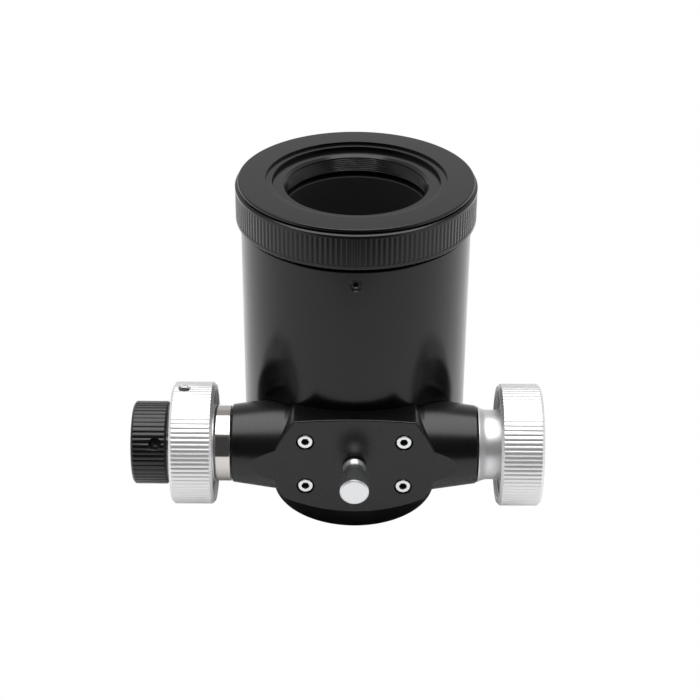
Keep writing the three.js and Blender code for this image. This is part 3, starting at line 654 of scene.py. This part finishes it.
ring_low, ring_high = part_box("coupling_ring")
ring_radius = (ring_high.x - ring_low.x) / 2
ring_top = ring_high.z
ring_bottom = body_high.z + COUPLING_GAP
spigot_radius = seat_radius - LIP_GAP
adapter_low, adapter_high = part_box("adapter_ring")
adapter_radius = (adapter_high.x - adapter_low.x) / 2
adapter_seat = adapter_radius + ADAPTER_FIT
ledge_radius = adapter_radius + RECESS_LEDGE
coupling_lip = adapter_radius - 1.8 * MM
groove_radius = spigot_radius - GROOVE_DEPTH
groove_low, groove_high = grub_middle[2] - GROOVE_HALF, grub_middle[2] + GROOVE_HALF
inner_radius = spigot_radius - SPIGOT_WALL
lip_bottom = adapter_low.z - ADAPTER_FIT - INNER_LIP
knurl_low = ring_bottom + KNURL_FOOT
knurl_high = ring_top - KNURL_HEAD
ring_outline = eased([
    (inner_radius, ring_low.z, EASE), (spigot_radius, ring_low.z, EASE),
    (spigot_radius, groove_low), (groove_radius, groove_low),
    (groove_radius, groove_high), (spigot_radius, groove_high),
    (spigot_radius, ring_bottom), (ring_radius, ring_bottom, 0.4 * MM),
    (ring_radius, knurl_low - 0.01 * MM), (ring_radius, knurl_low),
    (ring_radius, knurl_high), (ring_radius, knurl_high + 0.01 * MM),
    (ring_radius, ring_top - 2.1 * MM, 0.08 * MM),
    (ring_radius - 1.2 * MM, ring_top - 1.4 * MM),
    (ring_radius - 1.5 * MM, ring_top - 1.4 * MM),
    (ring_radius - 1.5 * MM, ring_top - 0.9 * MM),
    (ring_radius - 0.9 * MM, ring_top - 0.9 * MM),
    (ring_radius - 0.9 * MM, ring_top, 0.6 * MM),
    (ledge_radius, ring_top, 0.12 * MM), (ledge_radius, ring_top - RECESS_STEP),
    (adapter_seat, ring_top - RECESS_STEP, 0.12 * MM), (adapter_seat, lip_bottom + INNER_LIP),
    (coupling_lip, lip_bottom + INNER_LIP), (coupling_lip, lip_bottom),
    (inner_radius, lip_bottom),
])
ring_steps = COUPLING_KNURLS * 8
ring_angles = np.arange(ring_steps) / ring_steps * 2 * math.pi
ring_outline = rolled(ring_outline, ring_radius, KNURL_DEPTH, ring_angles, COUPLING_KNURLS,
                      knurl_low, knurl_high)
coupling = turned("coupling", ring_outline, optical_axis, UP, angles=ring_angles)
add(coupling, "coupling", "coupling_ring", black_upright)

# The adapter's hole is threaded: a fine triangular thread runs down it as a helix.
THREAD_PITCH = 0.75 * MM
THREAD_DEPTH = 0.3 * MM
ROWS_A_TURN = 8
CLEAR_RADIUS = 25.4 * MM


def threaded(radius, depth, pitch, low, high, angles):
    """Rows of a helical thread cut outwards into a hole: the radius rises and falls by the depth in
    a triangle wave of height over pitch, shifted by the angle, and dies away at both ends."""
    heights = np.linspace(high, low, round((high - low) / pitch) * ROWS_A_TURN + 1)
    rows = []
    for height in heights:
        phase = (height / pitch + angles / (2 * math.pi)) % 1
        fade = np.clip(min(height - low, high - height) / (pitch / 2), 0, 1)
        rows.append((radius + depth * fade * (1 - np.abs(2 * phase - 1)), height))
    return rows


adapter_angles = np.arange(192) / 192 * 2 * math.pi
adapter_outline = eased([
    (adapter_radius, adapter_low.z), (adapter_radius, adapter_high.z, 0.2 * MM),
    (CLEAR_RADIUS + 0.9 * MM, adapter_high.z, 0.2 * MM), (CLEAR_RADIUS, adapter_high.z - 0.9 * MM),
    (CLEAR_RADIUS, adapter_low.z),
])
adapter_outline = adapter_outline[:-1] + threaded(
    CLEAR_RADIUS, THREAD_DEPTH, THREAD_PITCH, adapter_low.z + 0.3 * MM,
    adapter_high.z - 1.1 * MM, adapter_angles) + adapter_outline[-1:]
adapter = turned("adapter", adapter_outline, optical_axis, UP, angles=adapter_angles)
add(adapter, "coupling", "adapter_ring", black_upright)

# ---- Drawtube: a black tube that slides in the body, with a steel running strip down its front ----
# It is turned aluminium, matt inside against glare. A stop screw at its back limits its travel.
MATT_BLACK = (0.012, 0.012, 0.0125, 1)
tube_low, tube_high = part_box("drawtube")
tube_radius = (tube_high.x - tube_low.x) / 2
strip_low, strip_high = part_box("running_strip")
tube_outline = eased([
    (CLEAR_RADIUS, tube_low.z), (tube_radius, tube_low.z), (tube_radius, tube_high.z, 0.5 * MM),
    (CLEAR_RADIUS, tube_high.z, 0.25 * MM),
])
drawtube = turned("drawtube_turned", tube_outline, optical_axis, UP)
bed = box_piece("bed", (strip_low.x - 0.1 * MM, strip_low.y - MM, strip_low.z - 0.1 * MM),
                (strip_high.x + 0.1 * MM, strip_high.y + 0.05 * MM, strip_high.z + 0.1 * MM))
stop_middle, stop_size = middle("stop_screw")
stop_hole = drill(1.2 * MM, stop_middle + [0, 3 * MM, 0], AHEAD, 6 * MM)
drawtube = keep_round(cut(drawtube, bed, stop_hole), optical_axis, UP)
matt_black = metal("black_matt_bore", MATT_BLACK, 0.6, 0.0, optical_axis, UP, rings=0.8)
add(drawtube, "drawtube_assembly", "drawtube", matt_black)
bright_steel = steel("bright_steel", STEEL, 0.25, optical_axis, UP)
strip = box_piece("strip", strip_low, strip_high)
easing = strip.modifiers.new("easing", "BEVEL")
easing.width = 0.2 * MM
easing.segments = 2
add(strip, "drawtube_assembly", "running_strip", bright_steel)
stop_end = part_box("stop_screw")[1].y
stop_outline = eased([(0, -stop_size[1]), (1.1 * MM, -stop_size[1], 0.2 * MM), (1.1 * MM, -1.6 * MM),
                      (2 * MM, -1.6 * MM), (2 * MM, 0, 0.4 * MM)])
stop_wall = hexagon(1.5 * MM, screw_angles)
stop_outline += [(stop_wall, 0), (stop_wall, -0.9 * MM), (0, -1.0 * MM)]
stop = turned("stop", stop_outline, [stop_middle[0], stop_end, stop_middle[2]], (0, 1, 0),
              angles=screw_angles)
add(stop, "drawtube_assembly", "stop_screw",
    steel("stop_steel", DARK_STEEL, 0.35, stop_middle, (0, 1, 0)))

# ---- Eyepiece collar: screwed on the drawtube's end, it holds a brass band and two clamp screws ----
# The split band lies in a groove in its bore, and the screws press it on the eyepiece.
collar_low, collar_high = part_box("eyepiece_collar")
collar_radius = (collar_high.x - collar_low.x) / 2
band_low, band_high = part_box("compression_band")
band_radius = (band_high.x - band_low.x) / 2
BAND_PLAY = 0.1 * MM
clamp_ways = {side: way_out(f"clamp_screw_{side}")[1] for side in ("left", "right")}
clamp_z = middle("clamp_screw_left")[0][2]
collar_outline = eased([
    (CLEAR_RADIUS, 0, 0.6 * MM), (collar_radius, 0, 0.8 * MM),
    (collar_radius, collar_high.z, 0.5 * MM), (tube_radius + ADAPTER_FIT, collar_high.z, 0.2 * MM),
    (tube_radius + ADAPTER_FIT, tube_low.z - ADAPTER_FIT), (CLEAR_RADIUS, tube_low.z - ADAPTER_FIT),
    (CLEAR_RADIUS, band_high.z + BAND_PLAY), (band_radius + BAND_PLAY, band_high.z + BAND_PLAY),
    (band_radius + BAND_PLAY, band_low.z - BAND_PLAY), (CLEAR_RADIUS, band_low.z - BAND_PLAY),
])
collar = turned("collar", collar_outline, optical_axis, UP)
collar = keep_round(cut(collar, *[
    drill(1.6 * MM, optical_axis + way * (collar_radius + MM) + [0, 0, clamp_z], -way, 6 * MM,
          mouth=MM + FLARE, flare=FLARE) for way in clamp_ways.values()]), optical_axis, UP)
add(collar, "drawtube_assembly", "eyepiece_collar", black_upright)

BRASS = (0.62, 0.43, 0.17, 1)
band_outline = eased([
    (CLEAR_RADIUS, band_low.z, EASE), (band_radius, band_low.z), (band_radius, band_high.z),
    (CLEAR_RADIUS, band_high.z, EASE)])
band = cut(turned("band", band_outline, optical_axis, UP),
           box_piece("split", (optical_axis[0] - 1.5 * MM, optical_axis[1] - band_radius - MM, 0),
                     (optical_axis[0] + 1.5 * MM, optical_axis[1], tube_low.z)))
WORN_BRASS = (0.8, 0.6, 0.3, 1)
brass = metal("brass_upright", BRASS, 0.3, 1.0, optical_axis, UP, rings=0.8, grain=0.1,
              bump=0.2, worn=WORN_BRASS)
add(band, "drawtube_assembly", "compression_band", brass)

CLAMP_HEAD = 4.2 * MM
CLAMP_STEM = 1.5 * MM
CLAMP_LENGTH = 9.0 * MM
CLAMP_KNURLS = 36
CLAMP_SHARE = 0.3
CLAMP_KNURL_DEPTH = 0.3 * MM
clamp_angles = knurl_angles(CLAMP_KNURLS, CLAMP_SHARE)
for side, way in clamp_ways.items():
    tip = band_radius + 3 * BAND_PLAY
    start = collar_radius + MM
    outline = eased([
        (0, tip), (CLAMP_STEM, tip, EASE), (CLAMP_STEM, start), (CLAMP_HEAD * 0.7, start, 0.2 * MM),
        (CLAMP_HEAD, start + CLAMP_LENGTH * 0.4, 0.8 * MM), (CLAMP_HEAD, start + CLAMP_LENGTH, 0.7 * MM),
        (CLAMP_HEAD * 0.6, start + CLAMP_LENGTH, 0.2 * MM),
        (CLAMP_HEAD * 0.5, start + CLAMP_LENGTH - 0.3 * MM),
        (0, start + CLAMP_LENGTH - 0.3 * MM)])
    outline = knurled(outline, CLAMP_HEAD, CLAMP_KNURL_DEPTH, clamp_angles, CLAMP_KNURLS,
                      CLAMP_SHARE, start + CLAMP_LENGTH * 0.3, start + CLAMP_LENGTH)
    at = optical_axis + [0, 0, clamp_z]
    screw = turned(f"clamp_{side}", outline, at, way, angles=clamp_angles)
    add(screw, f"clamp_screw_{side}_body", f"clamp_screw_{side}",
        steel(f"clamp_steel_{side}", STEEL, 0.25, at, way))

# ---- Guide rails and bearings at the back of the bore: milled bars, steel axles, ball bearings ----
# Two screws through the body hold each rail, and the drawtube runs on its two bearings.
RAIL_WIDTH = 10 * MM
ROLLER_WIDTH = 3 * MM


def rod(radius, start, end, ease=EASE):
    """A rod's outline from pole to pole: its first end is eased as usual, its second as given."""
    return eased([(0, start), (radius, start, EASE), (radius, end, ease), (0, end)])


for side, sign in (("left", -1), ("right", 1)):
    for level in ("upper", "lower"):
        joint = joints[f"roller_spin_{level}_{side}"]
        at = np.array(joint["pos_m"])
        along = np.array(joint["axis"])
        half = ROLLER_WIDTH / 2
        near_half = [(1.6 * MM, half, 0.15 * MM), (2.5 * MM, half), (2.5 * MM, half - 0.2 * MM),
                     (3.2 * MM, half - 0.2 * MM), (3.2 * MM, half), (4 * MM, half, 0.25 * MM)]
        outline = eased([(r, -h, *ease) for r, h, *ease in near_half] + near_half[::-1])
        bearing = turned(f"bearing_{level}_{side}", outline, at, along, sides=96)
        finish = steel(f"bearing_steel_{level}_{side}", STEEL, 0.2, at, along)
        add(bearing, f"roller_{level}_{side}", f"guide_roller_{level}_{side}", finish)
        reach = RAIL_WIDTH / 2 - 0.2 * MM
        axle = turned(f"axle_{level}_{side}", rod(1.5 * MM, -reach, reach), at, along, sides=48)
        add(axle, "focuser_body", f"roller_axle_{level}_{side}", finish)
    refinish(frame["nodes"][f"guide_rail_{side}"], black_upright)

# ---- Drive housing: a milled block with two tapering arms, hollowed to sit on the body ----
# Its flat face carries four counterbored screws and the lock screw's hole.
HOUSING_ARCH = 1.4 * MM
HOUSING_KEEL = 58 * MM
SHOULDER_UP = 12.6 * MM
CORNER_WIDTH = 3.8 * MM
ARM_ROOT = 17.1 * MM
FACE_POINT_BACK = 13.2 * MM
POINT_HALF = 2 * MM
FACE_DEPTH = 4 * MM
BUSH_LENGTH = 7 * MM
FACE_EASING = 0.45 * MM
CROSS_ROUGHNESS = 0.3
CROSS_INDEX = 1.42
housing_low, housing_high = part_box("drive_housing")
arm_end = (housing_high.x - housing_low.x) / 2
face_y = housing_low.y
arm_tip = middle("reducer_race")[1][2] / 2 + 0.3 * MM
top_half = block_half - CORNER_WIDTH
arch_radius = (block_half ** 2 + HOUSING_ARCH ** 2) / (2 * HOUSING_ARCH)


def arc(start, end, centre_height, radius, side):
    """Points in x and z along a circle whose centre is on the middle line, above or below."""
    x = np.linspace(start, end, 25)
    return np.stack([x, centre_height + side * np.sqrt(radius ** 2 - x ** 2)], axis=1)


def prism(name, outline, front, back, easing):
    """An outline in x and z carried along Y, its front edges eased by a bevel."""
    count = len(outline)
    flat = np.concatenate([outline, outline])
    depth = np.repeat([front, back], count)
    points = np.stack([flat[:, 0] + optical_axis[0], depth, flat[:, 1]], axis=1)
    ahead = (np.arange(count) + 1) % count
    sides = np.stack([np.arange(count), ahead, ahead + count, np.arange(count) + count], axis=1)
    faces = [list(range(count)), list(range(2 * count - 1, count - 1, -1))] + sides.tolist()
    piece = make_piece(name, points, faces)
    bevel = piece.modifiers.new("easing", "BEVEL")
    bevel.width = easing
    bevel.segments = 3
    bevel.limit_method = "ANGLE"
    bevel.angle_limit = math.radians(40)
    return cut(piece)


keel = arc(-block_half, block_half, housing_low.z + HOUSING_KEEL, HOUSING_KEEL, -1)
arch = arc(top_half, -top_half, housing_high.z - arch_radius, arch_radius, 1)
shoulder_z = shaft_axis[2] + SHOULDER_UP
block_outline = np.concatenate([keel, [(block_half, shoulder_z)], arch, [(-block_half, shoulder_z)]])
point_x = arm_end - FACE_POINT_BACK
point_low, point_high = shaft_axis[2] - POINT_HALF, shaft_axis[2] + POINT_HALF
face_outline = np.concatenate([
    keel, [(point_x, point_low), (point_x, point_high), (block_half, shoulder_z)],
    arch, [(-block_half, shoulder_z), (-point_x, point_high), (-point_x, point_low)]])
ARM_OVERLAP = 2.9 * MM
arm_outline = eased([
    (0, block_half - ARM_OVERLAP), (ARM_ROOT, block_half - ARM_OVERLAP),
    (ARM_ROOT, block_half - 0.5 * MM), (arm_tip, arm_end, 0.6 * MM), (0, arm_end)])
housing = cut(prism("housing", block_outline, face_y, shaft_axis[1], FACE_EASING),
              prism("face_plate", face_outline, face_y, face_y + FACE_DEPTH, FACE_EASING),
              turned("right_arm", arm_outline, shaft_axis, ACROSS, sides=256),
              turned("left_arm", arm_outline, shaft_axis, (-1, 0, 0), sides=256), operation="UNION")
boss = block_at_shaft("boss", block_half, body_radius + 2 * MM, strip_front + LIP_GAP,
                      WINDOW_HEIGHT / 2 - LIP_GAP)
saddle = turned("saddle", [(0, 0), (body_radius + LIP_GAP, 0), (body_radius + LIP_GAP, 0.12), (0, 0.12)],
                optical_axis, UP, sides=288)
ahead = box_piece("ahead", (housing_low.x - MM, face_y - 10 * MM, 0), (housing_high.x + MM, face_y, 0.1))
housing = cut(cut(housing, saddle, ahead), boss, operation="UNION")
bush_radius = middle("shaft_bush_left")[1][2] / 2
bush_bore = shaft_radius + 0.1 * MM
housing_cutters = [drill(shaft_radius + LIP_GAP, shaft_axis - [arm_end + MM, 0, 0], ACROSS,
                         2 * arm_end + 2 * MM)]
for side in (1, -1):
    housing_cutters.append(drill(bush_radius + ADAPTER_FIT, shaft_axis + [side * (arm_end + MM), 0, 0],
                                 (-side, 0, 0), BUSH_LENGTH + MM + 0.3 * MM))
lock_hole_start = np.array([shaft_axis[0], face_y - MM, shaft_axis[2]])
housing_cutters.append(drill(2.1 * MM, lock_hole_start, (0, 1, 0), shaft_axis[1] - face_y + MM,
                             mouth=MM + 0.4 * MM, flare=0.4 * MM))
for name in housing_screws:
    place = middle(name)[0]
    start = np.array([place[0], face_y - MM, place[2]])
    housing_cutters.append(drill(HEAD_HOLE, start, (0, 1, 0), MM + HEAD_HEIGHT + 0.25 * MM,
                                 mouth=MM + 0.2 * MM, flare=0.2 * MM))
    housing_cutters.append(drill(SCREW_HOLE, start, (0, 1, 0), 20 * MM))
housing = keep_round(cut(housing, *housing_cutters), shaft_axis, ACROSS)
black_cross = metal("black_anodised_cross", BLACK, CROSS_ROUGHNESS, 0.0, shaft_axis, ACROSS,
                    rings=0.2, index=CROSS_INDEX)
add(housing, "focuser_body", "drive_housing", black_cross)

brass_cross = metal("brass_cross", BRASS, 0.3, 1.0, shaft_axis, ACROSS, rings=0.8, grain=0.1,
                    bump=0.2, worn=WORN_BRASS)
for side, sign in (("left", -1), ("right", 1)):
    start = arm_end - BUSH_LENGTH
    end = start + middle(f"shaft_bush_{side}")[1][0]
    outline = eased([(bush_bore, start), (bush_radius, start, EASE),
                     (bush_radius, end, 0.2 * MM), (bush_bore, end, EASE)])
    bush = turned(f"bush_{side}", outline, shaft_axis, (sign, 0, 0), sides=96)
    add(bush, "focuser_body", f"shaft_bush_{side}", brass_cross)

# ---- Focus shaft and the two coarse knobs: a ground steel rod, silver anodised knobs ----
# Each knob is turned, knurled with straight V grooves, dished on both faces, with a grub screw.
SILVER = (0.67, 0.665, 0.675, 1)
KNOB_KNURLS = 80
KNOB_KNURL_DEPTH = 0.17 * MM
KNOB_SHARE = 0.24
KNOB_EDGE = 1.0 * MM
DISH_DEPTH = 1.6 * MM
DISH_RIM = 2.6 * MM
HUB_RADIUS = 14.0 * MM
HUB_NECK = 12.8 * MM
steel_cross = steel("steel_cross", STEEL, 0.18, shaft_axis, ACROSS)
RACE_SILVER = (0.52, 0.50, 0.475, 1)
WORN_SILVER = (0.9, 0.9, 0.9, 1)
silver = metal("silver_turned", RACE_SILVER, 0.12, 1.0, shaft_axis, ACROSS, rings=0.5,
               grain=0.3, smudges=0.15, bump=0.2, worn=WORN_SILVER)
satin = metal("silver_blasted", SILVER, 0.4, 0.85, shaft_axis, ACROSS, rings=0.1, grain=1.0,
              smudges=0.1, bump=0.25, worn=WORN_SILVER)


def from_shaft_middle(node, side):
    """How far a node's near and far ends are from the object's middle plane, along the shaft."""
    return sorted(side * (corner.x - shaft_axis[0]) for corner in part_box(node))


rod_start, rod_end = from_shaft_middle("focus_shaft", 1)
shaft = turned("shaft_rod", rod(shaft_radius, rod_start, rod_end, ease=0.4 * MM), shaft_axis,
               ACROSS, sides=96)
add(shaft, "focus_shaft_assembly", "focus_shaft", steel_cross)

knob_angles = knurl_angles(KNOB_KNURLS, KNOB_SHARE)
knob_bore = shaft_radius + ADAPTER_FIT
knob_radius = middle("coarse_knob_left")[1][2] / 2
sleeve_radius = middle("ball_cage")[1][2] / 2 - 0.95 * MM


def knob_outline(start, end, bore, hub):
    """A knob from its bore out: an inner hub, a dished inner face, the rim, a dished outer face."""
    dish = knob_radius - DISH_RIM
    return eased([
        *hub, (dish, start + DISH_DEPTH, EASE), (dish, start, EASE),
        (knob_radius - KNOB_EDGE, start, 0.1 * MM), (knob_radius, start + KNOB_EDGE, 0.1 * MM),
        (knob_radius, end - KNOB_EDGE, 0.1 * MM), (knob_radius - KNOB_EDGE, end, 0.1 * MM),
        (dish, end, EASE), (dish - 0.5 * MM, end - DISH_DEPTH, EASE),
        (bore, end - DISH_DEPTH, 0.2 * MM)])


def grub_way(node):
    """Direction from the shaft's axis to a knob's grub screw."""
    place = middle(node)[0]
    way = (place - shaft_axis) * [0, 1, 1]
    return place, way / np.linalg.norm(way)


def knob_hole(node, radius):
    """A cutter for the grub screw's hole, from outside a knob inwards."""
    place, way = grub_way(node)
    mouth = shaft_axis * [0, 1, 1] + [place[0], 0, 0] + way * (radius + MM)
    return drill(GRUB_HOLE, mouth, -way, radius - shaft_radius, mouth=MM + 0.7 * MM, flare=FLARE)


def knob_grub(name, node, body, top):
    """The grub screw itself, below its hole's mouth."""
    place, way = grub_way(node)
    bottom = shaft_radius + 0.2 * MM
    end = shaft_axis * [0, 1, 1] + [place[0], 0, 0] + way * top
    grub = grub_screw(name, end, way, top - bottom)
    add(grub, body, node, steel(name, DARK_STEEL, 0.45, end, way))
    paint_socket_shade(grub, end, way, 2 * MM)


right_far = from_shaft_middle("coarse_knob_right", 1)[1]
right_start = right_far - middle("coarse_knob_left")[1][0]
hub_start = arm_end + LIP_GAP
right_hub = [
    (knob_bore, hub_start, 0.2 * MM), (HUB_RADIUS, hub_start, 0.2 * MM),
    (HUB_NECK, hub_start + 2.6 * MM, 1.4 * MM), (HUB_NECK, right_start + DISH_DEPTH, EASE)]
left_start, left_far = from_shaft_middle("coarse_knob_left", -1)
left_bore = sleeve_radius + ADAPTER_FIT
left_hub = [(left_bore, left_start, 0.2 * MM), (HUB_RADIUS, left_start, EASE),
            (HUB_RADIUS, left_start + DISH_DEPTH, EASE)]
for side, sign, outline in (
        ("right", 1, knob_outline(right_start, right_far, knob_bore, right_hub)),
        ("left", -1, knob_outline(left_start, left_far, left_bore, left_hub))):
    outline = knurled(outline, knob_radius, KNOB_KNURL_DEPTH, knob_angles, KNOB_KNURLS, KNOB_SHARE)
    knob = turned(f"knob_{side}", outline, shaft_axis, (sign, 0, 0), angles=knob_angles)
    knob = cut(knob, knob_hole(f"knob_grub_{side}", knob_radius))
    add(knob, "focus_shaft_assembly", f"coarse_knob_{side}", satin)
    knob_grub(f"grub_{side}", f"knob_grub_{side}", "focus_shaft_assembly", knob_radius - 3 * MM)

# ---- Ball reducer and fine focus: race, cage and balls, then a small black knob on its own shaft ----
# The race is bright turned metal, fixed between arm and knob. The fine knob is black anodised.
race_near, race_far = from_shaft_middle("reducer_race", -1)
race_outer = middle("reducer_race")[1][2] / 2
RACE_RADIUS = 7.2 * MM
race_outline = eased([
    (RACE_RADIUS, race_near, 0.2 * MM), (race_outer, race_near, 0.4 * MM),
    (race_outer, race_far, 0.4 * MM), (RACE_RADIUS, race_far, 0.2 * MM)])
race = turned("race", race_outline, shaft_axis, (-1, 0, 0))
add(race, "focuser_body", "reducer_race", silver)
refinish(frame["nodes"]["ball_cage"], brass_cross)
BALL_RADIUS = 2 * MM
for number in range(1, 5):
    place = middle(f"reducer_ball_{number}")[0]
    slopes = np.linspace(-math.pi / 2, math.pi / 2, 25)
    outline = [(BALL_RADIUS * math.cos(slope) if abs(slope) < 1.57 else 0.0,
                BALL_RADIUS * math.sin(slope)) for slope in slopes]
    ball = turned(f"ball_{number}", outline, place, UP, sides=48)
    add(ball, "focus_shaft_assembly", f"reducer_ball_{number}", steel_cross)
fine_near, fine_far = from_shaft_middle("fine_shaft", -1)
fine_rod = turned("fine_rod", rod(shaft_radius, fine_near, fine_far), shaft_axis, (-1, 0, 0),
                  sides=96)
add(fine_rod, "fine_focus", "fine_shaft", steel_cross)

FINE_KNURLS = 47
FINE_KNURL_DEPTH = 0.2 * MM
FINE_SHARE = 0.22
FINE_EDGE = 0.8 * MM
FINE_RIM = 2.4 * MM
FINE_DISH = 0.8 * MM
fine_radius = middle("fine_knob")[1][2] / 2
near, far = from_shaft_middle("fine_knob", -1)
outline = eased([
    (knob_bore, near), (fine_radius - FINE_EDGE, near, 0.1 * MM),
    (fine_radius, near + FINE_EDGE, 0.1 * MM), (fine_radius, far - FINE_EDGE, 0.1 * MM),
    (fine_radius - FINE_EDGE, far, 0.1 * MM), (fine_radius - FINE_RIM, far, 0.1 * MM),
    (fine_radius - FINE_RIM, far - FINE_DISH), (knob_bore, far - FINE_DISH)])
fine_angles = knurl_angles(FINE_KNURLS, FINE_SHARE)
outline = knurled(outline, fine_radius, FINE_KNURL_DEPTH, fine_angles, FINE_KNURLS, FINE_SHARE)
fine = turned("fine", outline, shaft_axis, (-1, 0, 0), angles=fine_angles)
fine = cut(fine, knob_hole("fine_knob_grub", fine_radius))
add(fine, "fine_focus", "fine_knob", black_cross)
knob_grub("fine_grub", "fine_knob_grub", "fine_focus", fine_radius - 2 * MM)

# ---- Lock screw: a steel thumbscrew, waisted behind its knurled head, turned from one bar ----
# It screws into the housing's face, and its nylon pad presses on the shaft.
lock_low, lock_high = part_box("lock_screw")
lock_start = shaft_axis[1] - lock_high.y
lock_end = shaft_axis[1] - lock_low.y
lock_seat = shaft_axis[1] - face_y + 0.6 * MM
LOCK_FLANGE = 4.3 * MM
LOCK_WAIST = 3.3 * MM
LOCK_HEAD = (lock_high.x - lock_low.x) / 2
LOCK_KNURLS = 40
LOCK_SHARE = 0.28
LOCK_KNURL_DEPTH = 0.3 * MM
NYLON = (0.72, 0.7, 0.64, 1)
lock_angles = knurl_angles(LOCK_KNURLS, LOCK_SHARE)
outline = eased([
    (0, lock_start), (2 * MM, lock_start, EASE), (2 * MM, lock_seat),
    (LOCK_FLANGE, lock_seat, 0.2 * MM),
    (LOCK_FLANGE, lock_seat + 0.8 * MM, EASE), (LOCK_WAIST, lock_seat + 3 * MM, 0.9 * MM),
    (LOCK_WAIST, lock_seat + 4 * MM, 0.9 * MM), (LOCK_HEAD, lock_seat + 7.5 * MM, 0.5 * MM),
    (LOCK_HEAD, lock_end - 0.5 * MM), (LOCK_HEAD - 0.5 * MM, lock_end, 0.1 * MM), (0, lock_end)])
outline = knurled(outline, LOCK_HEAD, LOCK_KNURL_DEPTH, lock_angles, LOCK_KNURLS, LOCK_SHARE,
                  lock_seat + 6.5 * MM, lock_end - 0.7 * MM)
lock = turned("lock", outline, shaft_axis, AHEAD, angles=lock_angles)
add(lock, "lock_screw_body", "lock_screw",
    steel("lock_steel", STEEL, 0.33, shaft_axis, AHEAD))
pad_low, pad_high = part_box("lock_pad")
pad_radius = (pad_high.x - pad_low.x) / 2
pad = turned("pad", rod(pad_radius, 0, pad_high.y - pad_low.y),
             (shaft_axis[0], pad_high.y, shaft_axis[2]), AHEAD, sides=48)
nylon = metal("nylon", NYLON, 0.5, 0.0, shaft_axis, AHEAD, rings=0.3, grain=0.3,
              worn=(0.8, 0.8, 0.75, 1))
add(pad, "lock_pad_body", "lock_pad", nylon)
